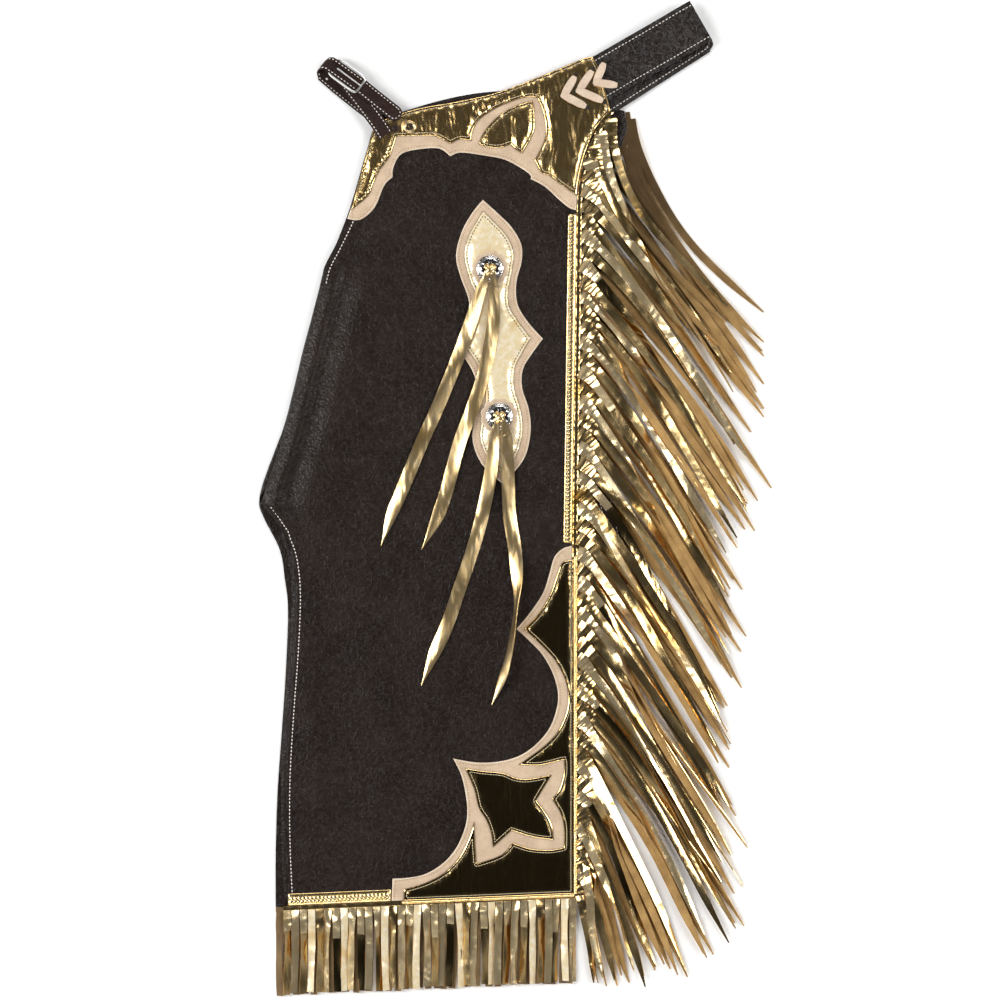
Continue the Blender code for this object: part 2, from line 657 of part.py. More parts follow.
def comb(name, edge, roots, strands, low, high, material):
    """A fringe: a strip along the edge, and a strand drawn out of its outer face at each root.

    edge holds the strip's outer line, and roots the stretches of that line, as distances along it. Each
    strand is a list of rings of four corners: inner low, outer low, outer high, inner high side.
    """
    line = np.array(edge, float)
    length = np.concatenate([[0], np.cumsum(np.linalg.norm(np.diff(line, axis=0), axis=1))])
    stops = sorted({0.0, float(length[-1]), *[s for root in roots for s in root]})
    place = lambda s: np.array([np.interp(s, length, line[:, 0]), np.interp(s, length, line[:, 1])])
    points, faces = [], []
    for s in stops:
        ahead, behind = place(min(s + 1, length[-1])), place(max(s - 1, 0))
        along = (ahead - behind) / np.linalg.norm(ahead - behind)
        inward = np.array([along[1], -along[0]]) * EDGE_STRIP
        x, y = place(s)
        points += [(x, y, low), (x, y, high), (x + inward[0], y + inward[1], high)]
        points.append((x + inward[0], y + inward[1], low))
    taken = {round(root[0], 6): i for i, root in enumerate(roots)}
    for k in range(len(stops) - 1):
        a, b = 4 * k, 4 * (k + 1)
        for i in range(1, 4):
            j = (i + 1) % 4
            faces.append((a + i, b + i, b + j, a + j))
        strand = taken.get(round(stops[k], 6))
        if strand is None:
            faces.append((a, b, b + 1, a + 1))
            continue
        ring = [a, b, b + 1, a + 1]
        for corners in strands[strand]:
            start = len(points)
            points += [tuple(c) for c in corners]
            new = list(range(start, start + 4))
            for i in range(4):
                j = (i + 1) % 4
                faces.append((ring[i], ring[j], new[j], new[i]))
            ring = new
        faces.append(tuple(ring))
    faces.append((0, 1, 2, 3))
    end = 4 * (len(stops) - 1)
    faces.append((end + 3, end + 2, end + 1, end))
    mesh = mesh_from(name, points, faces, recalculate=True)
    return add(name, mesh, material)


def strand_rings(path, widths, thickness):
    """Rings of a flat strand along a path. Its first side is the one nearer the start of the edge."""
    p = np.array(path, float)
    rings = []
    for i in range(1, len(p)):
        ahead = p[min(i + 1, len(p) - 1)] - p[i - 1]
        along = ahead[:2] / np.linalg.norm(ahead[:2])
        side = np.array([-along[1], along[0], 0]) * widths[i] / 2
        up = np.array([0, 0, thickness / 2])
        rings.append([p[i] + side - up, p[i] - side - up, p[i] - side + up, p[i] + side + up])
    return rings


def side_fringe(name, edge, levels, strip, thickness, seed, stretch, material):
    """Long strands off the outer edge. Neighbours lie in different levels, so that they may cross."""
    rng = random.Random(seed)
    line = np.array(edge, float)
    length = np.concatenate([[0], np.cumsum(np.linalg.norm(np.diff(line, axis=0), axis=1))])
    count = int((length[-1] - FIRST_ROOT) / SIDE_PITCH) + 1
    fall = np.array(FRINGE_FALL, float)
    roots, strands = [], []
    for k in range(count):
        middle = FIRST_ROOT + k * SIDE_PITCH
        roots.append((middle - ROOT_WIDTH / 2, middle + ROOT_WIDTH / 2))
        x = float(np.interp(middle, length, line[:, 0]))
        y = float(np.interp(middle, length, line[:, 1]))
        reach = np.interp(y, fall[:, 0], fall[:, 1]) * stretch * rng.uniform(0.93, 1.05)
        drop = np.interp(y, fall[:, 0], fall[:, 2]) * rng.uniform(0.93, 1.05)
        tip = np.array([min(x + reach, LONGEST[0] - 8), max(y - drop, LOWEST_TIP)])
        if name == "under_side_fringe" and k == LONGEST_STRAND:
            tip = np.array(LONGEST)
        start = np.array([x, y])
        bend = start + (tip - start) * (0.1, 0.02) + (9, -5)
        late = tip - (tip - start) * (0.34, 0.40)
        level = levels[k % len(levels)]
        path = []
        for t in SIDE_STEPS:
            spot = (
                start * (1 - t) ** 3 + 3 * bend * t * (1 - t) ** 2 + 3 * late * t**2 * (1 - t) + tip * t**3
            )
            path.append((*spot, strand_height(spot, x, level, sum(strip) / 2)))
        strands.append(strand_rings(path, SIDE_WIDTHS, thickness))
    comb(name, edge, roots, strands, *strip, material)


def strand_height(spot, root_x, level, root_z):
    """Middle height by place alone: up to its level near the root, and down again far from the edge."""
    middle, settled = level
    rise = float(smooth((spot[0] - root_x) / 16))
    far = float(max(smooth((spot[0] - 128) / 60), smooth((-395 - spot[1]) / 80)))
    return root_z + (middle + (settled - middle) * far - root_z) * rise


def hem_fringe(name, hem, strip, levels, thickness, seed, material):
    """Short straight strands along the hem, cut straight across. Neighbours lie in different levels."""
    rng = random.Random(seed)
    line = np.array(hem, float)
    line[:, 1] -= EDGE_STRIP
    line = line[::-1]
    length = float(np.linalg.norm(line[1] - line[0]))
    pitch = length / HEM_STRANDS
    roots, strands = [], []
    for k in range(HEM_STRANDS):
        middle = pitch * (k + 0.5)
        roots.append((middle - pitch / 2 + 0.5, middle + pitch / 2 - 0.5))
        x, y = line[0] + (line[1] - line[0]) * middle / length
        lean = rng.uniform(-2.6, 2.6) * (0.3 if k in (0, HEM_STRANDS - 1) else 1)
        drop = HEM_DROP - EDGE_STRIP + rng.uniform(-2.5, 0)
        if k == HEM_STRANDS - 1:
            drop = HEM_DROP - EDGE_STRIP
        heights = (sum(strip) / 2, *levels[k % len(levels)])
        path = [(x + lean * t, y - drop * t, z) for t, z in zip((0, 0.12, 1), heights)]
        strands.append(strand_rings(path, [pitch - HEM_GAP] * 3, thickness))
    comb(name, line, roots, strands, *strip, material)


def strings(name, first, second):
    """Two flat strings that share one root under their concho."""
    low = ON_ROSETTE
    high = low + TRIM
    middle = (first[0][0] + second[0][0]) / 2
    top = first[0][1]
    half = second[0][0] - first[0][0]
    edge = [(middle + half, top - EDGE_STRIP), (middle - half, top - EDGE_STRIP)]
    roots = [(0.0, half), (half, 2 * half)]
    strands = []
    for rows in (second, first):
        path = [(x, y if i else y - EDGE_STRIP, z + TRIM / 2) for i, (x, y, z) in enumerate(rows)]
        plan = np.concatenate([smooth_run([p[:2] for p in path], 2), [path[-1][:2]]])
        heights = np.interp(np.arange(len(plan)) / 2, np.arange(len(path)), [p[2] for p in path])
        path = np.column_stack([plan, heights])
        widths = [half] + [min(STRING_WIDTH, half + 2.4 * i) for i in range(1, len(path) - 2)]
        widths += [STRING_WIDTH * 0.62, 1.0]
        strands.append(strand_rings(path, widths, TRIM))
    comb(name, edge, roots, strands, low, high, "gold")


def scalloped(centre):
    """A rosette's outline: a circle whose radius swells once for each lobe."""
    made = []
    for k in range(ROSETTE_LOBES * 4):
        angle = 2 * math.pi * k / (ROSETTE_LOBES * 4)
        radius = ROSETTE_RADIUS - 1.6 + 1.6 * abs(math.sin(ROSETTE_LOBES * angle / 2))
        made.append((centre[0] + radius * math.cos(angle), centre[1] + radius * math.sin(angle)))
    return made


def bindings():
    """Gold strips on the panel: along the outer edge below the yoke, and along the hem."""
    right = 65.2 - SEAM - GAP
    outer = [(51.5, 302), (64.3, 302), (right, -46), (50.5, -46)]
    flat_piece("outer_binding", outer, ON_PANEL, TRIM, "gold")
    slope = (TOP_HEM[1][1] - TOP_HEM[0][1]) / (TOP_HEM[1][0] - TOP_HEM[0][0])
    hem = lambda x: TOP_HEM[0][1] + (x - TOP_HEM[0][0]) * slope
    left, end = -240.5, -131.6
    strip = [(left, hem(left) + 0.6), (end, hem(end) + 0.6), (end, hem(end) + 13), (left, hem(left) + 13)]
    flat_piece("hem_binding", strip, ON_PANEL, TRIM, "gold")


def trim():
    flat_piece("yoke_underlay", outline(YOKE_UNDERLAY, 2), ON_PANEL, TRIM, "tan")
    flat_piece("yoke", outline(YOKE), ON_UNDERLAY, TRIM, "gold")
    flat_piece("yoke_leaf", outline(YOKE_LEAF), ON_UNDERLAY, TRIM, "gold")
    flat_piece("corner_underlay", outline(CORNER_UNDERLAY, 2), ON_PANEL, TRIM, "tan")
    flat_piece("corner_overlay", outline(CORNER_OVERLAY, 2), ON_UNDERLAY, TRIM, "gold")
    flat_piece("corner_star", outline(CORNER_STAR, 2), ON_UNDERLAY, TRIM, "gold")
    flat_piece("plate_underlay", outline(PLATE_UNDERLAY, 2), ON_PANEL, TRIM, "tan")
    flat_piece("plate", outline(PLATE, 2), ON_UNDERLAY, TRIM, "gold")
    for place, centre in ROSETTES.items():
        flat_piece(f"rosette_{place}", scalloped(centre), ON_TRIM, TRIM, "tan")
        turned(f"concho_{place}", CONCHO_PROFILE, centre, ON_ROSETTE + TRIM + GAP, "silver")
    for number, chevron in enumerate(CHEVRONS, 1):
        flat_piece(f"lace_chevron_{number}", band_outline(chevron, LACE_WIDTH), ON_TRIM, TRIM, "tan")
    turned("grommet", GROMMET_PROFILE, GROMMET, ON_TRIM, "silver")
    turned("rivet", RIVET_PROFILE, RIVET, ON_TRIM, "leather", 16)


leg("leg_panel", leg_grid(TOP_LEG, TOP_EDGE, TOP_WAIST_BOW, top_height, TOP_ROLL, -1))
leg("under_leg_panel", leg_grid(UNDER_LEG, UNDER_EDGE, UNDER_WAIST_BOW, under_height, UNDER_ROLL, 1))
inner_layers()
trim()
bindings()
strings("strings_upper", STRING_A, STRING_B)
strings("strings_lower", STRING_C, STRING_D)
side_fringe("side_fringe", TOP_EDGE, TOP_LEVELS, TOP_STRIP, FRINGE_THICK, 4, 1.0, "gold")
side_fringe("under_side_fringe", UNDER_EDGE, UNDER_LEVELS, UNDER_STRIP, UNDER_THICK, 9, 1.1, "suede")
hem_fringe("hem_fringe", TOP_HEM, TOP_STRIP, TOP_HEM_LEVELS, FRINGE_THICK, 12, "gold")
hem_fringe("under_hem_fringe", UNDER_HEM, UNDER_STRIP, UNDER_HEM_LEVELS, UNDER_THICK, 21, "suede")
back_belt()
billet_strap()
buckle_strap()
buckle()
leg_strap()
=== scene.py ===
"""Western riding chaps in brown leather with gold trim, folded leg on leg and laid flat on a pale floor.

Tables are in millimetres in the frame's own axes: +Y towards the waist, +X towards the fringed edge, +Z up.
Each mesh is made in metres with its place in it.
"""

import math
import random

import bmesh
import bpy
import numpy as np
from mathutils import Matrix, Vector
from mathutils.geometry import delaunay_2d_cdt


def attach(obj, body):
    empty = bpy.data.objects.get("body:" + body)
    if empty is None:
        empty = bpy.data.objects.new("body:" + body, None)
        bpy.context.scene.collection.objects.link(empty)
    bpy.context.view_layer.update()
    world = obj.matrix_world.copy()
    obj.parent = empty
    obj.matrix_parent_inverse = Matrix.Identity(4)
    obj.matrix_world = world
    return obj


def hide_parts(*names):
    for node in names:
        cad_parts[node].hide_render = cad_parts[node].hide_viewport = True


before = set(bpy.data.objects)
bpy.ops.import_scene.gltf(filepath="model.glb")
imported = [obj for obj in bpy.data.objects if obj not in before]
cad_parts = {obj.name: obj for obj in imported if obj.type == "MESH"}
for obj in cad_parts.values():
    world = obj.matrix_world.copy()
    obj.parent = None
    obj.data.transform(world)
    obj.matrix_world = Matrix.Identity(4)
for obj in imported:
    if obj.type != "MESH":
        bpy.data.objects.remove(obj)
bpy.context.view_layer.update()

# The room. A plain pale floor, soft boxes low on every side, and a dark ceiling straight above, so that
# foil that lies level looks dark and foil that leans catches a box. The camera looks straight down.
MM = 0.001
scene = bpy.context.scene
scene.view_settings.view_transform = "Standard"


def node(tree, kind, inputs=(), **settings):
    """A shader node, with each input set to a value or linked to a socket."""
    made = tree.nodes.new("ShaderNode" + kind)
    for key, value in settings.items():
        setattr(made, key, value)
    for key, value in dict(inputs).items():
        if isinstance(value, bpy.types.NodeSocket):
            tree.links.new(value, made.inputs[key])
        else:
            made.inputs[key].default_value = value
    return made


def ramp(tree, value, stops):
    """A colour ramp over a value: each stop is a position and a grey or a colour."""
    made = node(tree, "ValToRGB", {"Fac": value})
    steps = made.color_ramp.elements
    while len(steps) < len(stops):
        steps.new(0.5)
    for step, (position, colour) in zip(steps, stops):
        step.position = position
        step.color = (*colour, 1) if isinstance(colour, tuple) else (colour, colour, colour, 1)
    return made.outputs["Color"]


lens = bpy.data.cameras.new("straight_down")
lens.lens = 135
lens.sensor_width = 36
lens.clip_end = 30
camera = bpy.data.objects.new("straight_down", lens)
camera.location = (-0.0164, -0.0005, 3.975)
scene.collection.objects.link(camera)
scene.camera = camera

SOFT_BOXES = [
    # x, y, height, width, length, watts
    (-2.4, 0.2, 1.75, 1.0, 3.2, 94),
    (2.4, 0.4, 1.75, 0.8, 3.0, 66),
    (0.3, 2.7, 1.8, 2.4, 0.7, 36),
    (-0.4, -2.7, 1.7, 2.4, 0.7, 38),
]
for number, (x, y, z, width, length, watts) in enumerate(SOFT_BOXES, 1):
    lamp = bpy.data.lights.new(f"soft_box_{number}", "AREA")
    lamp.shape = "RECTANGLE"
    lamp.size = width
    lamp.size_y = length
    lamp.energy = watts
    box = bpy.data.objects.new(lamp.name, lamp)
    box.location = (x, y, z)
    box.rotation_euler = Vector((-x, -y, -z)).to_track_quat("-Z", "Y").to_euler()
    scene.collection.objects.link(box)

world = bpy.data.worlds.new("studio")
world.use_nodes = True
scene.world = world
tree = world.node_tree
direction = node(tree, "SeparateXYZ", {0: node(tree, "TexCoord").outputs["Generated"]})
sky = ramp(tree, direction.outputs["Z"], [(0.0, 0.36), (0.36, 0.28), (0.62, 0.09), (0.80, 0.018), (0.95, 0.004)])
tree.links.new(sky, tree.nodes["Background"].inputs["Color"])
tree.nodes["Background"].inputs["Strength"].default_value = 1.0

floor_mesh = bpy.data.meshes.new("floor")
floor_mesh.from_pydata([(-6, -6, -0.0004), (6, -6, -0.0004), (6, 6, -0.0004), (-6, 6, -0.0004)], [], [(0, 1, 2, 3)])
floor = bpy.data.objects.new("floor", floor_mesh)
scene.collection.objects.link(floor)
pale = bpy.data.materials.new("pale_floor")
pale.use_nodes = True
pale.node_tree.nodes["Principled BSDF"].inputs["Base Color"].default_value = (0.93, 0.93, 0.925, 1)
pale.node_tree.nodes["Principled BSDF"].inputs["Roughness"].default_value = 0.9
pale.node_tree.nodes["Principled BSDF"].inputs["Specular IOR Level"].default_value = 0.1
floor_mesh.materials.append(pale)

# The top leg: one piece of dark brown pebbled leather, 2 mm thick, its inner thigh edge rolled under in
# a soft bulge. A white row of stitches runs inside the cut edge below the roll and above it.
LEATHER = 2.0
TRIM = 1.2
GAP = 0.3
EDGE_STRIP = 5.0
SEAM = EDGE_STRIP + GAP
LAP_HEIGHT = 5.5
ROLL_LIFT = 6.2
SWELL_LIFT = 4.4
TOP_ROLL = 2.25
ON_PANEL = LAP_HEIGHT + LEATHER + GAP
ON_UNDERLAY = ON_PANEL + TRIM + GAP
ON_TRIM = ON_UNDERLAY + TRIM + GAP
ON_ROSETTE = ON_TRIM + TRIM + GAP
TOP_LEG = [
    # inner_x, inner_y, outer_x, outer_y, rolled
    (-241, -429.7, 65.2, -416.7, 0),
    (-244, -361, 65.2, -352, 0),
    (-244, -295, 65.2, -290, 0),
    (-240, -225, 65.2, -222, 0),
    (-235, -157, 65.2, -158, 0),
    (-233, -98, 65.2, -100, 0),
    (-237, -60, 65.2, -62, 0),
    (-246, -36, 65.6, -36, 0),
    (-257, -19, 66, -18, 0),
    (-267.7, -5, 66.2, -4, 0),
    (-265.5, 8, 66.5, 9, 9),
    (-261, 22, 66.7, 23, 22),
    (-254, 42, 67, 44, 34),
    (-247, 64, 67.4, 66, 34),
    (-240, 92, 67.8, 94, 34),
    (-232, 125, 68.3, 125, 34),
    (-224, 159, 69, 155, 34),
    (-215, 195, 69.6, 190, 32),
    (-208, 222, 70, 218, 16),
    (-202, 246, 70, 245, 0),
    (-191, 268, 70, 268, 0),
    (-176, 300, 70, 307, 0),
    (-168, 330, 70.8, 331, 0),
    (-159, 360, 72, 352, 0),
    (-149, 392, 60, 378, 0),
    (-143, 398.5, 34, 440, 0),
]
TOP_EDGE = [(103.5, 409.5), (91, 391), (81, 371), (74.5, 351), (71, 331), (70, 307), (65.2, -53), (65.2, -412)]
TOP_WAIST_BOW = -4.0
# Soft folds of the leg, each a low rounded ridge between two places.
CREASES = [
    # x, y, to_x, to_y, width, height
    (-222, 40, -120, 6, 13, 1.7),
    (-214, 92, -96, 70, 15, 1.5),
    (-203, 150, -120, 158, 12, 1.2),
    (-190, 214, -110, 246, 14, 1.2),
    (-246, -12, -160, -60, 12, 1.6),
    (-228, -120, -206, -300, 15, 1.1),
    (-150, -150, -128, -330, 22, 0.7),
    (-96, -250, -180, -372, 19, 0.8),
    (-60, 330, -140, 268, 21, 0.8),
    (30, 60, 34, 240, 16, 0.9),
    (48, 292, 26, 150, 12, 0.7),
    (-30, -60, -90, -190, 24, 0.6),
    (-218, -390, -130, -408, 10, 0.7),
]


def smooth(t):
    """Rises from 0 to 1 with level ends: three t squared less two t cubed."""
    t = np.clip(t, 0, 1)
    return t * t * (3 - 2 * t)


def run_through(points, steps):
    """Catmull-Rom curve through a run of rows: each span is a cubic of its two ends and their neighbours."""
    p = np.array(points, float)
    p = np.concatenate([p[:1], p, p[-1:]])
    t = (np.arange(steps) / steps)[None, :, None]
    a, b, c, d = (p[i : len(p) - 3 + i, None] for i in range(4))
    made = 0.5 * (2 * b + (c - a) * t + (2 * a - 5 * b + 4 * c - d) * t**2 + (3 * b - a - 3 * c + d) * t**3)
    return np.concatenate([made.reshape(-1, p.shape[1]), p[-1:]])


def offset_line(points, distance):
    """An open line moved to its left by a distance, mitred at its bends."""
    p = np.array(points, float)
    along = np.diff(p, axis=0)
    along /= np.linalg.norm(along, axis=1)[:, None]
    side = np.stack([-along[:, 1], along[:, 0]], 1)
    mitre = np.concatenate([side[:1], side[:-1] + side[1:], side[-1:]])
    mitre /= np.linalg.norm(mitre, axis=1)[:, None]
    return p + mitre * (distance / (mitre * np.concatenate([side[:1], side])).sum(1))[:, None]


def lay(x, y):
    """How far the leg lifts at a place: for each crease its height times e to the minus (distance/width) squared."""
    x, y = np.asarray(x, float), np.asarray(y, float)
    lift = np.zeros(np.broadcast(x, y).shape)
    for x0, y0, x1, y1, width, height in CREASES:
        share = np.clip(((x - x0) * (x1 - x0) + (y - y0) * (y1 - y0)) / ((x1 - x0) ** 2 + (y1 - y0) ** 2), 0, 1)
        away = np.hypot(x - x0 - share * (x1 - x0), y - y0 - share * (y1 - y0))
        wander = 1 + 0.35 * np.sin(share * 5.1 + x0)
        lift += height * wander * np.exp(-((away / width) ** 2))
    return lift


def leg_height(x, y):
    """Underside of the top leg: its height on the layers, a tube along the roll, a low swell and its creases."""
    table = np.array(TOP_LEG)
    inner = np.interp(y, table[:, 1], table[:, 0])
    window = smooth((y + 44) / 46) * smooth((266 - y) / 50)
    away = x - inner
    tube = ROLL_LIFT * smooth((away + 6) / 20) * (1 - smooth((away - 15) / 10))
    swell = SWELL_LIFT * smooth((away - 22) / 26) * (1 - smooth((away - 55) / 65))
    bulge = tube + swell
    return LAP_HEIGHT + window * bulge + lay(x, y)


def grid_quads(rows, columns, around=False):
    """Corner numbers of the faces of a grid, its columns joined round where it closes."""
    r, c = np.meshgrid(np.arange(rows - 1), np.arange(columns if around else columns - 1), indexing="ij")
    a, b = r * columns + c, r * columns + (c + 1) % columns
    return np.stack([a, b, b + columns, a + columns], -1).reshape(-1, 4)


def mesh_of(name, points, quads=(), triangles=(), sides=None, sharp=50):
    """A mesh from whole arrays: points in millimetres, faces of four and of three corners, each face's finish."""
    mesh = bpy.data.meshes.new(name)
    quads, triangles = np.array(quads, int).reshape(-1, 4), np.array(triangles, int).reshape(-1, 3)
    corners = np.concatenate([quads.ravel(), triangles.ravel()])
    starts = np.concatenate([np.arange(len(quads)) * 4, len(quads) * 4 + np.arange(len(triangles)) * 3])
    mesh.vertices.add(len(points))
    mesh.vertices.foreach_set("co", (np.asarray(points, float) * MM).ravel())
    mesh.loops.add(len(corners))
    mesh.loops.foreach_set("vertex_index", corners.astype(np.int32))
    mesh.polygons.add(len(starts))
    mesh.polygons.foreach_set("loop_start", starts.astype(np.int32))
    if sides is not None:
        mesh.polygons.foreach_set("material_index", np.asarray(sides, np.int32))
    mesh.update(calc_edges=True)
    mesh.validate()
    mesh.shade_smooth()
    mesh.set_sharp_from_angle(angle=math.radians(sharp))
    return mesh


def close_up(mesh):
    """Merges meeting points and turns every face outwards."""
    work = bmesh.new()
    work.from_mesh(mesh)
    bmesh.ops.remove_doubles(work, verts=work.verts, dist=1e-7)
    bmesh.ops.recalc_face_normals(work, faces=work.faces)
    work.to_mesh(mesh)
    work.free()
    return mesh


def along_line(points):
    """Distance along an open line at each of its points."""
    return np.concatenate([[0], np.cumsum(np.linalg.norm(np.diff(points, axis=0), axis=1))])


def place(name, mesh, finishes, nodes=()):
    """Puts a finished mesh in the scene, riding on the chaps, in the place of the nodes that it stands for."""
    obj = bpy.data.objects.new(name, mesh)
    for finish in finishes:
        mesh.materials.append(finish)
    scene.collection.objects.link(obj)
    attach(obj, "root")
    if nodes:
        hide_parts(*nodes)
    return obj


def effect(name, inputs, outputs):
    """An empty shader group with named inputs and outputs: the group, its inner inputs and its inner outputs."""
    group = bpy.data.node_groups.new(name, "ShaderNodeTree")
    for label, kind in inputs:
        group.interface.new_socket(label, in_out="INPUT", socket_type="NodeSocket" + kind)
    for label, kind in outputs:
        group.interface.new_socket(label, in_out="OUTPUT", socket_type="NodeSocket" + kind)
    return group, group.nodes.new("NodeGroupInput").outputs, group.nodes.new("NodeGroupOutput").inputs


def noise(tree, where, scale, detail=2.0, distortion=0.0):
    """Cloudy noise over a place, about one cloud to each 1/scale metres."""
    inputs = {"Vector": where, "Scale": scale, "Detail": detail, "Distortion": distortion}
    return node(tree, "TexNoise", inputs).outputs["Fac"]


def maths(tree, operation, a, b=0.0, c=0.0):
    """One sum on two or three values."""
    return node(tree, "Math", {0: a, 1: b, 2: c}, operation=operation).outputs[0]


def mix(tree, share, a, b):
    """A colour between two, by a share."""
    made = node(tree, "Mix", {0: share, 6: a, 7: b}, data_type="RGBA")
    return made.outputs[2]


def finish_of(name, group, values, metallic=0.0, bump=0.5, depth=0.0004, gloss=0.5, sheen=0.0):
    """A material fed by an effect: its colour, roughness and height vary over the surface."""
    made = bpy.data.materials.new(name)
    made.use_nodes = True
    tree = made.node_tree
    shader = tree.nodes["Principled BSDF"]
    source = node(tree, "Group", node_tree=group)
    for label, value in values.items():
        source.inputs[label].default_value = value
    raised = node(tree, "Bump", {"Height": source.outputs["Height"], "Strength": bump, "Distance": depth})
    tree.links.new(source.outputs["Color"], shader.inputs["Base Color"])
    tree.links.new(source.outputs["Roughness"], shader.inputs["Roughness"])
    tree.links.new(raised.outputs["Normal"], shader.inputs["Normal"])
    shader.inputs["Metallic"].default_value = metallic
    shader.inputs["Specular IOR Level"].default_value = gloss
    shader.inputs["Sheen Weight"].default_value = sheen
    return made


HIDE, given, out = effect(
    "pebbled_hide",
    [("Deep", "Color"), ("Worn", "Color"), ("Pebbles", "Float"), ("Shine", "Float")],
    [("Color", "Color"), ("Roughness", "Float"), ("Height", "Float")],
)
where = node(HIDE, "TexCoord").outputs["Object"]
pebble = node(HIDE, "TexVoronoi", {"Vector": where, "Scale": given["Pebbles"]}, feature="SMOOTH_F1")
pebble = pebble.outputs["Distance"]
cloud = noise(HIDE, where, 22.0, 4.0)
fine = noise(HIDE, where, 420.0, 3.0)
crackle = maths(HIDE, "ABSOLUTE", maths(HIDE, "SUBTRACT", noise(HIDE, where, 150.0, 3.0, 0.7), 0.5))
crackle = maths(HIDE, "POWER", maths(HIDE, "SUBTRACT", 1.0, maths(HIDE, "MULTIPLY", crackle, 3.0)), 10.0)
wear = maths(HIDE, "MULTIPLY_ADD", fine, 0.7, maths(HIDE, "MULTIPLY", cloud, 0.6))
HIDE.links.new(mix(HIDE, ramp(HIDE, wear, [(0.44, 0.0), (0.88, 1.0)]), given["Deep"], given["Worn"]), out["Color"])
shine = maths(HIDE, "MULTIPLY_ADD", fine, 0.22, given["Shine"])
HIDE.links.new(shine, out["Roughness"])
grain = maths(HIDE, "MULTIPLY_ADD", pebble, -0.8, maths(HIDE, "MULTIPLY", fine, 0.2))
HIDE.links.new(maths(HIDE, "MULTIPLY_ADD", crackle, -0.45, grain), out["Height"])

brown_hide = finish_of(
    "brown_hide",
    HIDE,
    {"Deep": (0.0082, 0.0050, 0.0038, 1), "Worn": (0.0215, 0.0143, 0.0114, 1), "Pebbles": 430.0, "Shine": 0.23},
    bump=0.8,
    depth=0.0008,
    gloss=0.17,
)


def plain(name, colour, roughness, metallic=0.0):
    """A small fitting's finish: its colour and roughness are broken by fine noise."""
    made = bpy.data.materials.new(name)
    made.use_nodes = True
    tree = made.node_tree
    shader = tree.nodes["Principled BSDF"]
    speckle = noise(tree, node(tree, "TexCoord").outputs["Object"], 900.0, 2.0)
    dark = tuple(0.78 * v for v in colour)
    tree.links.new(mix(tree, speckle, (*dark, 1), (*colour, 1)), shader.inputs["Base Color"])
    tree.links.new(maths(tree, "MULTIPLY_ADD", speckle, 0.2, roughness), shader.inputs["Roughness"])
    shader.inputs["Metallic"].default_value = metallic
    return made


white_thread = plain("white_thread", (0.86, 0.81, 0.73), 0.6)
gold_thread = plain("gold_thread", (0.86, 0.72, 0.46), 0.45)
# Holes are small dark marks laid on the surface: their near-black colour is painted shade inside the holes.
hole_painted_shade = plain("hole_painted_shade", (0.020, 0.012, 0.006), 0.8)
# Pin holes in the tan leather: brown marks of painted shade.
pin_hole_painted_shade = plain("pin_hole_painted_shade", (0.20, 0.125, 0.07), 0.9)


def sew(name, rows, finish, pitch=3.4, length=2.5, width=0.8, rise=0.35):
    """Stitches along rows of points and ups: each is a half ellipsoid of that length, width and rise.

    A template of two poles and three rings is carried to every place, turned to the row's direction.
    """
    centres, along, ups = [], [], []
    for points, up in rows:
        points = np.asarray(points, float)
        up = np.broadcast_to(np.asarray(up, float), points.shape)
        run = np.concatenate([[0], np.cumsum(np.linalg.norm(np.diff(points, axis=0), axis=1))])
        at = np.arange(pitch / 2, run[-1], pitch)
        pick = lambda s, values: np.stack([np.interp(s, run, values[:, i]) for i in range(3)], 1)
        centres.append(pick(at, points))
        along.append(pick(at + 0.4, points) - pick(at - 0.4, points))
        ups.append(pick(at, up))
    centres, along, ups = (np.concatenate(v) for v in (centres, along, ups))
    along /= np.linalg.norm(along, axis=1)[:, None]
    side = np.cross(ups, along)
    side /= np.linalg.norm(side, axis=1)[:, None]
    turn = np.arange(6) * math.pi / 3
    shares = np.repeat([-0.72, 0.0, 0.72], 6)
    girth = np.repeat([0.7, 1.0, 0.7], 6)
    u = np.concatenate([[-1], shares, [1]]) * length / 2
    v = np.concatenate([[0], girth * np.tile(np.cos(turn), 3), [0]]) * width / 2
    w = np.concatenate([[0], girth * np.tile(np.sin(turn), 3), [0]]) * rise
    points = centres[:, None] + u[:, None] * along[:, None] + v[:, None] * side[:, None] + w[:, None] * ups[:, None]
    ring = np.arange(6)
    after = (ring + 1) % 6
    near = np.stack([np.zeros(6, int), 1 + after, 1 + ring], 1)
    far = np.stack([np.full(6, 19), 13 + ring, 13 + after], 1)
    bands = np.concatenate([np.stack([1 + ring, 1 + after, 7 + after, 7 + ring], 1) + 6 * k for k in (0, 1)])
    step = (np.arange(len(centres)) * 20)[:, None, None]
    quads = (bands[None] + step).reshape(-1, 4)
    triangles = (np.concatenate([near, far])[None] + step).reshape(-1, 3)
    return place(name, mesh_of(name, points.reshape(-1, 3), quads, triangles), [finish])


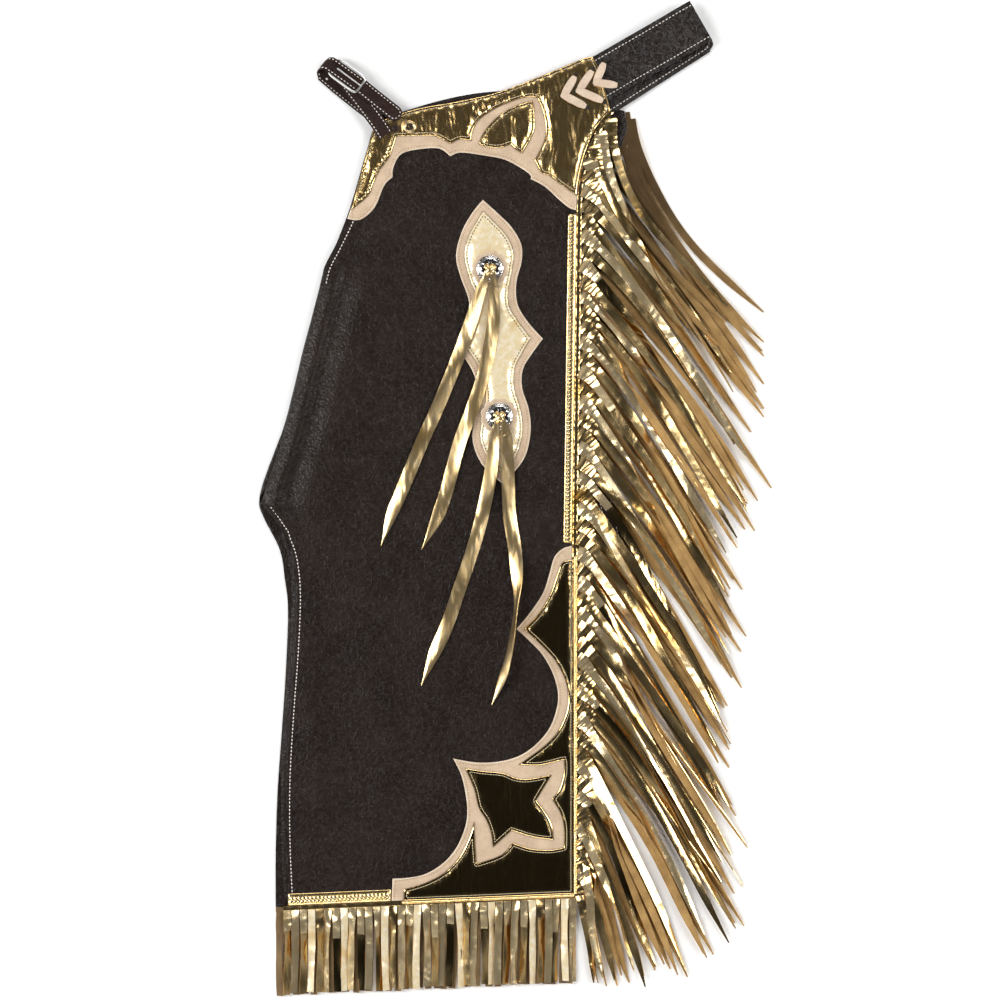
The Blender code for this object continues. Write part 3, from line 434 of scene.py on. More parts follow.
def leg_grid(rows, cut, bow, height, radius, turn, steps=7):
    """Middle surface of a leg: each row goes round the roll, a circle of the radius, and on to the fringe.

    Rows come from the table by a smooth curve. turn is -1 for a roll that goes under and 1 for one over.
    """
    table = run_through(rows, steps)
    ix, iy, ox, oy, rolled = table.T
    rolled = np.clip(rolled, 0, None)
    sweep = np.minimum(rolled / radius, math.pi)
    fold_x = ix + (radius + LEATHER / 2) * np.sin(np.minimum(sweep, math.pi / 2))
    flap = np.clip(rolled - math.pi * radius, 0, None)
    end_x = np.minimum(ox - SEAM, np.interp(oy, cut[:, 1], cut[:, 0]))
    across = np.concatenate([np.linspace(0, 0.2, 26), np.linspace(0.2, 1, 44)[1:]])
    share = np.clip((np.arange(len(table)) / steps - (len(rows) - 2)), 0, 1)
    x = fold_x[:, None] + (end_x - fold_x)[:, None] * across
    y = iy[:, None] + (oy - iy)[:, None] * across + bow * share[:, None] * np.sin(math.pi * across)
    flat = np.stack([x, y, height(x, y) + LEATHER / 2], -1)
    angles = sweep[:, None] * np.linspace(1, 0, 11)[:-1]
    roll_x = fold_x[:, None] - radius * np.sin(angles)
    roll_z = flat[:, :1, 2] + turn * radius * (1 - np.cos(angles))
    hem = np.linspace(1, 0, 5)[:-1] * flap[:, None]
    flap_x = roll_x[:, :1] + hem
    flap_z = np.repeat(roll_z[:, :1], 4, 1)
    x = np.concatenate([flap_x, roll_x], 1)
    z = np.concatenate([flap_z, roll_z], 1)
    roll = np.stack([x, np.repeat(iy[:, None], x.shape[1], 1), z], -1)
    return np.concatenate([roll, flat], 1)


def leather_sheet(name, grid, finish, node_name, thick=LEATHER):
    """A sheet of leather on a grid's middle surface, made thick by a solidify wall."""
    rows, columns = grid.shape[:2]
    obj = place(name, mesh_of(name, grid.reshape(-1, 3), grid_quads(rows, columns)), [finish], [node_name])
    wall = obj.modifiers.new("wall", "SOLIDIFY")
    wall.thickness = thick * MM
    wall.offset = 0
    return obj


top_cut = offset_line(TOP_EDGE, -SEAM - GAP)[::-1]
top_grid = leg_grid(TOP_LEG, top_cut, TOP_WAIST_BOW, leg_height, TOP_ROLL, -1)
top_leg = leather_sheet("top_leg", top_grid, brown_hide, "leg_panel")

level = (0, 0, 1)
inner = run_through(TOP_LEG, 7)[:, :2]


def leg_row(line, above=LAP_HEIGHT + LEATHER):
    """A row for sewing that follows a line seen from above, on whatever the leg carries at that height."""
    line = np.asarray(line, float)
    height = leg_height(line[:, 0], line[:, 1]) - LAP_HEIGHT + above
    return np.column_stack([line, height]), level


front = inner[inner[:, 1] > 226] + (6.0, -1.5)
thigh = inner[(inner[:, 1] < -40) & (inner[:, 1] > -420)] + (5.4, -1.2)
corner = np.array([(-259, -7.5), (-250, -19.5), (-240.5, -34.0)])
sew("leg_stitching", [leg_row(front), leg_row(np.concatenate([thigh, corner[::-1]]))], white_thread, 3.9, 2.7, 1.15, 0.5)

# The under leg: the same leather, face down on the floor under the top leg, with its own rolled edge.
# Its underside is what rests on the floor, and low creases run across it.
UNDER_ROLL = 1.6
UNDER_WAIST_BOW = 25.0
UNDER_LEG = [
    # inner_x, inner_y, outer_x, outer_y, rolled
    (-254, -431.7, 62, -418.7, 0),
    (-254, -371, 62, -358, 0),
    (-252, -308, 62, -300, 0),
    (-247.5, -244, 62, -240, 0),
    (-243.3, -181, 62, -180, 0),
    (-241, -117, 62, -118, 0),
    (-244.3, -85, 62, -86, 0),
    (-249.6, -53.5, 62, -54, 0),
    (-265.5, -21.7, 62.5, -22, 0),
    (-271.5, -5, 63, -5, 0),
    (-269, 12, 63.3, 14, 8),
    (-263, 30, 63.6, 32, 20),
    (-255.5, 50, 64, 52, 28),
    (-244.5, 80, 64.5, 82, 28),
    (-233, 125, 65, 125, 28),
    (-225, 159, 65.5, 155, 28),
    (-216, 192, 66, 188, 16),
    (-208, 220, 66.5, 215, 0),
    (-198, 250, 67, 245, 0),
    (-180, 296, 140, 288, 0),
    (-172, 320, 140, 322, 0),
    (-164, 348, 140, 349, 0),
    (-157, 372, 140, 372, 0),
    (-150, 394, 140, 393, 0),
    (-140, 404, 140, 411.5, 0),
]
UNDER_EDGE = [(121, 411), (124, 393), (117, 372), (103, 349), (85, 322), (69, 288), (62, -22), (62, -414)]


def under_height(x, y):
    """Underside of the under leg: on the floor, with shallow troughs where the creases of the other leg lie."""
    shift = 14.0
    return 0.16 * lay(x + shift, y - shift)


under_cut = offset_line(UNDER_EDGE, -SEAM - GAP)[::-1]
under_grid = leg_grid(UNDER_LEG, under_cut, UNDER_WAIST_BOW, under_height, UNDER_ROLL, 1)
under_leg = leather_sheet("under_leg", under_grid, brown_hide, "under_leg_panel")

# The hidden layers between the legs: folded flaps as one soft solid, stepped at its edge like the
# stacked edges of leather, so that it shows as layers where the legs part.
INNER_LOW = LEATHER + GAP
INNER_RIGHT = 43.0
FLAP_STEPS = [
    # share of the height from the bottom up, how far the edge stands out
    (0.0, 5.6), (0.20, 7.2), (0.42, 5.6), (0.46, 1.6), (0.50, 1.2), (0.72, 3.2), (0.94, 1.8), (1.0, 0.6),
]


def flap_stack():
    """The layers' upper face under the leg, and a rim that goes out and in with FLAP_STEPS on its way down."""
    ix, iy, ox, oy, _ = run_through(TOP_LEG[:-1], 5).T
    window = smooth((iy + 44) / 46) * smooth((266 - iy) / 50)
    left = ix + 2.5 + 35 * window + 25 * smooth((iy - 350) / 30)
    right = np.minimum(INNER_RIGHT, ox - SEAM - 9)
    across = np.linspace(0, 1, 40)
    x = left[:, None] + (right - left)[:, None] * across
    y = iy[:, None] + (oy - iy)[:, None] * (x - ix[:, None]) / (ox - ix)[:, None]
    y[:2] += 3
    y[-2:] -= 4
    top = np.stack([x, y, leg_height(x, y) - GAP - 0.35 * window[:, None]], -1)
    rows, columns = x.shape
    at = np.arange(rows * columns).reshape(rows, columns)
    rim = np.concatenate([at[0], at[1:, -1], at[-1, -2::-1], at[-2:0:-1, 0]])
    edge = top.reshape(-1, 3)[rim]
    along = np.roll(edge, -1, 0) - np.roll(edge, 1, 0)
    outward = np.stack([along[:, 1], -along[:, 0]], 1)
    outward /= np.linalg.norm(outward, axis=1)[:, None]
    hidden = smooth((edge[:, 1] + 34) / 10)
    reach = (1 - hidden) * (edge[:, 0] < -200) * 0.9
    rings = []
    for share, out_by in FLAP_STEPS[::-1]:
        ring = edge.copy()
        ring[:, 2] = INNER_LOW + (edge[:, 2] - INNER_LOW) * share
        ring[:, :2] += outward * (out_by * reach)[:, None]
        rings.append(ring)
    bottom = top.reshape(-1, 3).copy()
    bottom[:, 2] = INNER_LOW
    points = np.concatenate([top.reshape(-1, 3), *rings, bottom])
    count, around = rows * columns, len(rim)
    loops = [rim] + [count + k * around + np.arange(around) for k in range(len(rings))]
    loops.append(count + len(rings) * around + rim)
    skirt = [np.stack([a, b, np.roll(b, -1), np.roll(a, -1)], 1) for a, b in zip(loops, loops[1:])]
    upper = grid_quads(rows, columns)
    lower = (upper + count + len(rings) * around)[:, ::-1]
    return mesh_of("flap_stack", points, np.concatenate([upper, *skirt, lower]), sharp=70)


place("flap_stack", flap_stack(), [brown_hide], ["inner_layers"])

# The tan underlays: natural leather cut to a scalloped outline and sewn flat on the leg. They frame the
# gold pieces, and a row of pin holes shows along the margin.
YOKE_UNDERLAY = [
    # x, y, corner
    (-178, 297, 1), (-164, 296, 0), (-149, 309, 0), (-139, 332, 0), (-130, 341, 1), (-129, 352, 0),
    (-120, 366, 0), (-98, 371, 0), (-80, 371, 0), (-69, 363, 1), (-58, 367, 0), (-34, 364, 0),
    (-10, 359, 0), (14, 345, 0), (16, 339, 1), (31, 331, 0), (44, 319, 0), (56, 309, 0), (64.2, 306, 1),
    (65.4, 331, 0), (68, 350, 0), (66, 368, 1), (54, 385, 0), (30, 437, 1), (-16, 424, 0), (-60, 414, 0),
    (-106, 406, 0), (-141, 397, 1),
]
CORNER_UNDERLAY = [
    (59.5, -49, 1), (50, -52, 0), (41, -61, 0), (36, -78, 0), (29, -99, 0), (15, -120, 0), (1, -137, 1),
    (14, -149, 0), (29, -165, 0), (41, -188, 0), (45, -212, 0), (37, -240, 0), (20.5, -260, 0),
    (2, -272, 0), (-20, -277.5, 0), (-43, -278, 0), (-66, -274, 1), (-58, -290, 0), (-53, -310, 0),
    (-51, -331, 0), (-54, -349, 0), (-63, -369, 0), (-77, -385, 0), (-95, -396, 0), (-113, -400, 0),
    (-130, -401, 1), (-131, -424.5, 1), (59.5, -416.5, 1),
]
PLATE_UNDERLAY = [
    (-34.6, 317, 1), (-20, 304, 0), (-4, 288, 0), (6, 270, 0), (6.5, 252, 0), (1, 230, 0), (2, 207, 0),
    (13, 188, 0), (29, 170, 1), (18, 155, 0), (8, 138, 0), (7, 118, 0), (14, 96, 0), (16, 72, 0),
    (9, 43, 0), (-13, 16, 1), (-36, 38, 0), (-46, 68, 0), (-39, 108, 0), (-46, 137, 0), (-63, 161, 1),
    (-55, 185, 0), (-49, 208, 0), (-58, 235, 0), (-63, 258, 0), (-57, 283, 0), (-46, 303, 0),
]


def outline(rows, steps=4):
    """Closed outline: a Catmull-Rom curve from each corner to the next through the points between."""
    corners = [i for i, row in enumerate(rows) if row[2]]
    made = []
    for start, end in zip(corners, corners[1:] + [corners[0] + len(rows)]):
        run = [rows[i % len(rows)][:2] for i in range(start, end + 1)]
        made.append(run_through(run, steps if len(run) > 2 else 1)[:-1])
    return np.concatenate(made)


def fine_loop(loop, step):
    """The closed line with points added, so that none lie further apart than the step. Corners stay."""
    after = np.roll(loop, -1, 0)
    counts = np.maximum(np.ceil(np.linalg.norm(after - loop, axis=1) / step).astype(int), 1)
    which = np.repeat(np.arange(len(loop)), counts)
    within = np.arange(len(which)) - np.repeat(np.cumsum(counts) - counts, counts)
    return loop[which] + (after - loop)[which] * (within / counts[which])[:, None]


def edge_distance(points, loop):
    """For each point: distance to the closed line, place along it, and whether it is inside.

    Nearest by clamped projection on every span; inside where a ray to +X crosses an odd number of spans.
    """
    a, b = loop, np.roll(loop, -1, 0)
    span = b - a
    length = np.linalg.norm(span, axis=1)
    start = np.cumsum(length) - length
    away = points[:, None] - a[None]
    share = np.clip((away * span).sum(-1) / length**2, 0, 1)
    gap = np.linalg.norm(away - share[..., None] * span, axis=-1)
    near = gap.argmin(1)
    pick = np.arange(len(points))
    px, py = points[:, :1], points[:, 1:]
    crosses = (a[:, 1] > py) != (b[:, 1] > py)
    rise = np.where(span[:, 1] == 0, 1, span[:, 1])
    inside = (crosses & (px < a[:, 0] + (py - a[:, 1]) * span[:, 0] / rise)).sum(1) % 2 == 1
    return gap[pick, near], start[near] + share[pick, near] * length[near], inside


def inset(loop, distance, step=1.6):
    """The closed line moved inwards by a distance, without the loops that a moved corner leaves."""
    fine_line = fine_loop(loop, step)
    along = np.roll(fine_line, -1, 0) - np.roll(fine_line, 1, 0)
    side = np.stack([-along[:, 1], along[:, 0]], 1) / np.linalg.norm(along, axis=1)[:, None]
    area = (fine_line[:, 0] * np.roll(fine_line[:, 1], -1) - np.roll(fine_line[:, 0], -1) * fine_line[:, 1]).sum()
    moved = fine_line + side * distance * (1 if area > 0 else -1)
    gap, _, inside = edge_distance(moved, loop)
    return moved[inside & (gap > distance * 0.985)]


RINGS = (0.4, 1.0, 2.0, 3.0, 4.0)


def cut_from(name, loop, base, relief, finishes, nodes, rings=RINGS, net=3.2, rim=0.0):
    """A piece cut from sheet leather: its outline, rings inside it and a net of points, joined as triangles.

    The top lies at base + leg's lift + TRIM, rounded down over the last millimetre to the edge, plus
    relief(distance from the edge, place along it, x, y). The underside follows the leg. The last finish
    covers the cut wall and the top as far in as the rim.
    """
    loop = fine_loop(loop, 1.6)
    low, high = loop.min(0), loop.max(0)
    gx, gy = np.meshgrid(np.arange(low[0], high[0], net), np.arange(low[1], high[1], net * 0.866))
    gx[1::2] += net / 2
    middle = np.column_stack([gx.ravel(), gy.ravel()])
    gap, _, inside = edge_distance(middle, loop)
    middle = middle[inside & (gap > rings[-1] + net * 0.55)]
    ringed = [inset(loop, d) for d in rings]
    flat = np.concatenate([loop, *ringed, middle])
    count = len(loop)
    joined = delaunay_2d_cdt([Vector(p) for p in flat.tolist()], [], [list(range(count))], 1, 1e-4)
    xy = np.array([tuple(v) for v in joined[0]])
    faces = np.array([f for f in joined[2] if len(f) == 3])
    turn = np.cross(xy[faces[:, 1]] - xy[faces[:, 0]], xy[faces[:, 2]] - xy[faces[:, 0]])
    faces[turn < 0] = faces[turn < 0][:, ::-1]
    used = np.unique(faces)
    renumber = np.full(len(xy), -1)
    renumber[used] = np.arange(len(used))
    xy, faces = xy[used], renumber[faces]
    gap, place_along, _ = edge_distance(xy, loop)
    ground = base + leg_height(xy[:, 0], xy[:, 1]) - LAP_HEIGHT
    top = ground + TRIM * (0.4 + 0.6 * smooth(gap / 0.9)) + relief(gap, place_along, xy[:, 0], xy[:, 1])
    edges = np.concatenate([faces[:, [0, 1]], faces[:, [1, 2]], faces[:, [2, 0]]])
    key = np.sort(edges, 1)
    _, first, times = np.unique(key, axis=0, return_index=True, return_counts=True)
    border = edges[first[times == 1]]
    n = len(xy)
    wall = np.stack([border[:, 1], border[:, 0], border[:, 0] + n, border[:, 1] + n], 1)
    points = np.concatenate([np.column_stack([xy, top]), np.column_stack([xy, ground])])
    triangles = np.concatenate([faces, faces[:, ::-1] + n])
    outer = (gap[faces].mean(1) < rim) * (len(finishes) - 1)
    sides = np.concatenate([np.full(len(wall), len(finishes) - 1), outer, np.zeros(len(faces), int)])
    return place(name, mesh_of(name, points, wall, triangles, sides, 60), finishes, nodes)


NATURAL, given, out = effect(
    "natural_leather",
    [("Colour", "Color"), ("Shade", "Color"), ("Shine", "Float")],
    [("Color", "Color"), ("Roughness", "Float"), ("Height", "Float")],
)
where = node(NATURAL, "TexCoord").outputs["Object"]
fibre = noise(NATURAL, where, 640.0, 4.0, 0.4)
blotch = noise(NATURAL, where, 70.0, 3.0)
tone = maths(NATURAL, "MULTIPLY_ADD", fibre, 0.6, maths(NATURAL, "MULTIPLY", blotch, 0.6))
NATURAL.links.new(
    mix(NATURAL, ramp(NATURAL, tone, [(0.40, 1.0), (0.76, 0.0)]), given["Colour"], given["Shade"]), out["Color"]
)
NATURAL.links.new(maths(NATURAL, "MULTIPLY_ADD", fibre, 0.2, given["Shine"]), out["Roughness"])
NATURAL.links.new(fibre, out["Height"])
tan_leather = finish_of(
    "tan_leather",
    NATURAL,
    {"Colour": (0.60, 0.45, 0.31, 1), "Shade": (0.43, 0.31, 0.205, 1), "Shine": 0.6},
    bump=0.3,
    depth=0.0004,
)
tan_edge = finish_of(
    "tan_edge",
    NATURAL,
    {"Colour": (0.80, 0.68, 0.54, 1), "Shade": (0.58, 0.45, 0.32, 1), "Shine": 0.6},
    bump=0.3,
    depth=0.0004,
)


def underlay_relief(gap, place_along, x, y):
    """A shallow channel 3 mm inside the edge, where the underlay is sewn down, and a slight wave of the edge."""
    channel = -0.22 * np.exp(-(((gap - 3.0) / 0.9) ** 2)) + 0.22 * np.exp(-(((gap - 1.0) / 0.8) ** 2))
    return channel + 0.12 * np.sin(place_along / 9.0) * np.exp(-gap / 3.0)


for name, rows in (("yoke", YOKE_UNDERLAY), ("corner", CORNER_UNDERLAY), ("plate", PLATE_UNDERLAY)):
    loop = outline(rows)
    made = cut_from(
        f"{name}_tan", loop, ON_PANEL, underlay_relief, [tan_leather, tan_edge], [f"{name}_underlay"],
        rim=1.3,
    )
    holes = inset(loop, 3.0)
    if name == "yoke":
        holes = holes[(holes[:, 1] < 375) & (holes[:, 0] < 60)]
    if name == "corner":
        holes = holes[(holes[:, 0] < 52) & ((holes[:, 1] > -398) | (holes[:, 0] < -126))]
    # The pin holes are marks of painted shade, darker than the tan.
    sew(f"{name}_tan_holes", [leg_row(holes, ON_PANEL + TRIM - 0.22)], pin_hole_painted_shade, 2.9, 1.3, 1.0, 0.16)

# The gold pieces: foil-faced leather, sewn 3 mm inside their edges. The yoke puckers along its seams, the
# corner lies flat and scratched, and the long thigh plate is smooth, pale and full.
YOKE = [
    (-174, 306, 1), (-156, 321, 0), (-150, 335, 0), (-143, 349, 0), (-134, 361, 0), (-129, 374, 0),
    (-126, 384, 1), (-106, 384.5, 0), (-84, 384, 0), (-69, 376, 1), (-58, 381, 0), (-46.6, 379, 1),
    (-46, 388, 0), (-38, 402, 0), (-20, 414, 0), (-1, 422, 0), (15, 426, 0), (23, 424.5, 1), (29, 410, 0),
    (32, 392, 0), (29, 376, 0), (20, 359, 1), (27, 346, 0), (35, 343, 1), (48, 333, 0), (65, 321, 1),
    (65.5, 331, 0), (69.5, 352, 0), (76, 373.5, 0), (86, 394, 0), (100.5, 411.5, 1), (95, 432, 0),
    (88, 456, 0), (82, 467.5, 1), (72.5, 466.6, 0), (32, 450, 0), (-17.8, 431, 0), (-61.7, 421, 0),
    (-105.7, 413, 0), (-143.6, 400, 1), (-149.6, 394, 0),
]
YOKE_LEAF = [
    (-39, 376, 1), (-34, 388, 0), (-20, 404, 0), (-1, 416, 0), (18, 422, 1), (20, 408, 0), (19, 388, 0),
    (7, 366, 1), (1, 369.5, 0), (-5.5, 375.5, 1), (-16, 372, 0), (-28, 372.5, 0),
]
CORNER_OVERLAY = [
    (61.6, -64, 1), (50, -66, 0), (44, -79, 0), (37, -99, 0), (25, -120, 0), (9, -137, 1), (26, -153, 0),
    (43, -172, 0), (54, -196, 0), (55, -220, 0), (46, -243, 0), (31, -260, 0), (3, -280.5, 1), (26, -281, 0),
    (51, -275, 1), (51, -290, 0), (46, -307, 0), (38.5, -316.5, 1), (47, -331, 0), (51, -346, 0),
    (51, -368, 1), (36, -370.5, 0), (15, -369, 0), (-3, -363, 1), (-15.5, -376, 0), (-41, -385, 1),
    (-42.5, -364, 0), (-43.6, -340, 1), (-49, -358, 0), (-60, -379, 0), (-76, -395, 0), (-96, -405.5, 0),
    (-118, -412, 1), (-118.5, -424.4, 1), (61.6, -417, 1),
]
CORNER_STAR = [
    (-53.5, -284, 1), (-35, -287, 0), (-14, -289, 0), (-1, -294, 0), (13, -295.5, 0), (38.5, -291, 1),
    (22, -318, 1), (33, -333, 0), (39, -346, 0), (40.5, -360, 1), (18, -357, 0), (-4, -350, 1),
    (-14, -359, 0), (-24, -368, 1), (-26, -353, 0), (-31, -339, 0), (-39, -326, 0), (-44, -306, 0),
]
PLATE = [
    (-34.5, 305, 1), (-22, 293, 0), (-8, 277, 0), (-2, 259, 0), (-5, 236, 0), (-8.5, 214, 0), (-3, 197, 0),
    (16, 170.5, 1), (7, 155, 0), (-1, 138, 0), (-1.5, 117, 0), (5, 96, 0), (7.5, 72, 0), (1, 47, 0),
    (-13, 27, 1), (-29, 43, 0), (-37.5, 68, 0), (-31, 106, 0), (-37, 137, 0), (-52.5, 161, 1),
    (-46, 185, 0), (-40.5, 210, 0), (-49, 235, 0), (-54, 258, 0), (-49, 280, 0),
]

FOIL, given, out = effect(
    "gold_foil",
    [
        ("Gold", "Color"), ("Pale", "Color"), ("Amber", "Color"), ("Billow", "Float"), ("Crackle", "Float"),
        ("Grit", "Float"), ("Shine", "Float"), ("Stretch", "Vector"), ("Scratches", "Float"),
    ],
    [("Color", "Color"), ("Roughness", "Float"), ("Height", "Float")],
)
where = node(FOIL, "TexCoord").outputs["Object"]
drawn = node(FOIL, "VectorMath", {0: where, 1: given["Stretch"]}, operation="MULTIPLY").outputs[0]
billow = noise(FOIL, drawn, 38.0, 2.0, 0.4)
ruffle = noise(FOIL, drawn, 170.0, 3.0, 0.8)
grit = noise(FOIL, where, 900.0, 2.0)
streak = node(FOIL, "Mapping", {"Vector": where, "Rotation": (0, 0, 0.35), "Scale": (34, 0.6, 1)}).outputs[0]
scratch = ramp(FOIL, noise(FOIL, streak, 34.0, 1.0), [(0.69, 0.0), (0.73, 1.0)])
scratch = maths(FOIL, "MULTIPLY", scratch, given["Scratches"])
height = maths(FOIL, "MULTIPLY", billow, given["Billow"])
height = maths(FOIL, "MULTIPLY_ADD", ruffle, given["Crackle"], height)
FOIL.links.new(maths(FOIL, "MULTIPLY_ADD", grit, given["Grit"], height), out["Height"])
worn = maths(FOIL, "ADD", maths(FOIL, "MULTIPLY_ADD", ruffle, 0.7, scratch), maths(FOIL, "MULTIPLY", grit, 0.1))
tone = mix(FOIL, ramp(FOIL, worn, [(0.34, 0.0), (0.70, 1.0)]), given["Gold"], given["Pale"])
glow = ramp(FOIL, noise(FOIL, where, 26.0, 2.0, 0.4), [(0.60, 0.0), (0.72, 1.0)])
FOIL.links.new(mix(FOIL, glow, tone, given["Amber"]), out["Color"])
dull = maths(FOIL, "MULTIPLY_ADD", grit, 0.07, maths(FOIL, "MULTIPLY", scratch, 0.3))
FOIL.links.new(maths(FOIL, "ADD", dull, given["Shine"]), out["Roughness"])


def foil(name, gold, pale, amber, billow, crackle, grit, shine, stretch=(1, 1, 1), metal=1.0, scratches=0.0):
    """Gold leather of one look: its colours, how much it billows, crackles and sparkles, and its polish."""
    values = {
        "Gold": (*gold, 1), "Pale": (*pale, 1), "Amber": (*amber, 1), "Billow": billow, "Crackle": crackle,
        "Grit": grit, "Shine": shine, "Stretch": stretch, "Scratches": scratches,
    }
    return finish_of(name, FOIL, values, metallic=metal, bump=1.0, depth=0.001)


yoke_gold = foil(
    "yoke_gold", (0.86, 0.57, 0.22), (0.98, 0.78, 0.45), (0.80, 0.52, 0.20), 3.4, 0.08, 0.008, 0.195, (1.5, 0.55, 1),
)
corner_gold = foil(
    "corner_gold", (0.84, 0.57, 0.23), (0.98, 0.80, 0.48), (0.80, 0.54, 0.20), 1.2, 0.09, 0.022, 0.108, (1.6, 0.6, 1),
    scratches=0.1,
)
# The plate's gold is pale and mostly diffuse: painted reflection of the soft boxes, which level foil would not catch.
plate_gold_painted_glare = foil(
    "plate_gold_painted_glare", (0.86, 0.70, 0.42), (1.0, 0.95, 0.83), (0.78, 0.58, 0.30), 3.2, 0.05, 0.008, 0.22, metal=0.3
)
gold_edge = foil("gold_edge", (0.66, 0.44, 0.17), (0.94, 0.74, 0.42), (0.7, 0.45, 0.18), 0.5, 0.3, 0.1, 0.3)
# Dark brown on the gold pieces' cut walls and outermost 0.45 mm of their tops: painted shadow of the gap between each
# gold piece and what it is sewn on.
painted_shadow_edge = plain("painted_shadow_edge", (0.11, 0.068, 0.034), 0.6)


def puckered(depth, pucker, full, pitch=4.4):
    """Relief of a sewn gold piece: it swells from its edge, dips along the seam, and puckers across it.

    full * smooth(gap/9) - depth * a dip 3 mm in + pucker * a wave along the edge that dies away inwards.
    """

    def relief(gap, place_along, x, y):
        dip = np.exp(-(((gap - 3.0) / 0.85) ** 2))
        swell = full * smooth((gap - 0.6) / 9)
        strength = 0.6 + 0.4 * np.sin(place_along / 31.0) + 0.25 * np.sin(place_along / 12.0)
        bend = place_along + 1.6 * np.sin(place_along / 7.0)
        wave = np.sin(2 * math.pi * bend / pitch) * np.exp(-(((gap - 4.0) / 5.0) ** 2)) * smooth(gap / 1.5)
        return swell - depth * dip + pucker * strength * wave

    return relief


def yoke_relief(gap, place_along, x, y):
    """The yoke's seams, and the gathers that run down from its waist edge: ridges across x that fade with y."""
    sewn = puckered(0.55, 0.22, 0.5)(gap, place_along, x, y)
    drop = 422 + 0.33 * (x + 40) - y
    gather = np.sin(2 * math.pi * (x + 0.25 * y + 3 * np.sin(x / 13)) / 8.6) + 0.6 * np.sin((x + 0.4 * y) / 2.1)
    return sewn + 0.34 * gather * np.exp(-(((drop - 8) / 17) ** 2)) * smooth(gap / 4)


GOLD_PIECES = [
    # name, outline, relief, finish, replaced node, thread
    ("yoke_gold_piece", YOKE, yoke_relief, yoke_gold, "yoke", "gold"),
    ("leaf_gold_piece", YOKE_LEAF, puckered(0.5, 0.16, 0.7), yoke_gold, "yoke_leaf", "gold"),
    ("corner_gold_piece", CORNER_OVERLAY, puckered(0.5, 0.05, 0.25, 5.2), corner_gold, "corner_overlay", "gold"),
    ("star_gold_piece", CORNER_STAR, puckered(0.5, 0.04, 0.2, 5.2), corner_gold, "corner_star", "gold"),
    ("plate_gold_piece", PLATE, puckered(0.6, 0.06, 1.5), plate_gold_painted_glare, "plate", "dark"),
]
for name, rows, relief, finish, node_name, thread in GOLD_PIECES:
    loop = outline(rows)
    # The second finish paints shadow on each piece's cut wall and rim.
    finishes = [finish, painted_shadow_edge]
    cut_from(name, loop, ON_UNDERLAY, relief, finishes, [node_name], rim=0.45)
    seam = inset(loop, 3.0)
    seam = np.concatenate([seam, seam[:1]])
    gap, place_along, _ = edge_distance(seam, loop)
    row = leg_row(seam, ON_UNDERLAY + TRIM)
    row[0][:, 2] += relief(gap, place_along, seam[:, 0], seam[:, 1])
    if thread == "gold":
        sew(f"{name}_thread", [row], gold_thread, 2.9, 2.6, 0.8, 0.45)
    else:
        # The plate's stitch holes: dark marks of painted shade.
        sew(f"{name}_holes", [row], hole_painted_shade, 3.4, 2.3, 1.8, 0.34)

# The bindings: gold strips sewn along the outer edge and the hem, where the fringe is joined. Two rows
# of stitches gather each one into a pair of ropes.
strip_gold = foil(
    "strip_gold", (0.88, 0.62, 0.27), (1.0, 0.84, 0.54), (0.86, 0.60, 0.26), 0.6, 0.08, 0.03, 0.20, (2, 0.6, 1)
)
strip_right = 65.2 - SEAM - GAP
hem_line = lambda x: -430.2 + (x + 246) * 13.2 / 311.2
right_line = lambda y: strip_right + 4.7 * (y + 46) / 348


def binding_relief(across, along):
    """Two ropes side by side: each is round across and swells along it in slanting waves that lean to the other."""
    height = np.zeros(np.broadcast(across, along).shape)
    for middle, lean in ((3.2, 1.5), (8.0, -1.5)):
        aside = across - middle
        wave = 0.5 + 0.5 * np.sin(2 * math.pi * (along + lean * aside / 2.4) / 4.1)
        height += np.clip(1 - (aside / 2.5) ** 2, 0, 1) * (0.2 + 1.0 * wave)
    return height


outer_strip = np.array([(55.5, 302), (50.5, -46), (strip_right, -46), (64.3, 302)], float)
ends = [(-240.5, 13), (-240.5, 0.6), (-131.6, 0.6), (-131.6, 13)]
hem_strip = np.array([(x, hem_line(x) + up) for x, up in ends])
outer_relief = lambda gap, s, x, y: binding_relief(right_line(y) - x, y) * smooth(gap / 1.2)
hem_relief = lambda gap, s, x, y: binding_relief(y - hem_line(x), x) * smooth(gap / 1.2)
for name, loop, relief, node_name in (
    ("outer_binding_gold", outer_strip, outer_relief, "outer_binding"),
    ("hem_binding_gold", hem_strip, hem_relief, "hem_binding"),
):
    cut_from(name, loop, ON_PANEL, relief, [strip_gold, gold_edge], [node_name], (0.5, 1.1), 0.95)
for number, away in enumerate((0.9, 5.6), 1):
    down = np.linspace(300, -44, 90)
    side_row = np.column_stack([right_line(down) - away, down])
    across = np.linspace(-238, -133, 40)
    hem_row = np.column_stack([across, hem_line(across) + away + 0.3])
    rows = [leg_row(side_row, ON_PANEL + TRIM + 0.2), leg_row(hem_row, ON_PANEL + TRIM + 0.2)]
    sew(f"binding_thread_{number}", rows, gold_thread, 4.1, 2.4, 0.85, 0.4)

# Corner seams: the gold of the corner is rolled over the fringe's seam in a raised, close-stitched edge
# down the side and along the hem.
down = np.linspace(-60, -417, 120)
side_ridge = np.column_stack([np.full(120, 63.2), down])
across = np.linspace(-120, 62.5, 60)
hem_ridge = np.column_stack([across, hem_line(across) - 1.4])


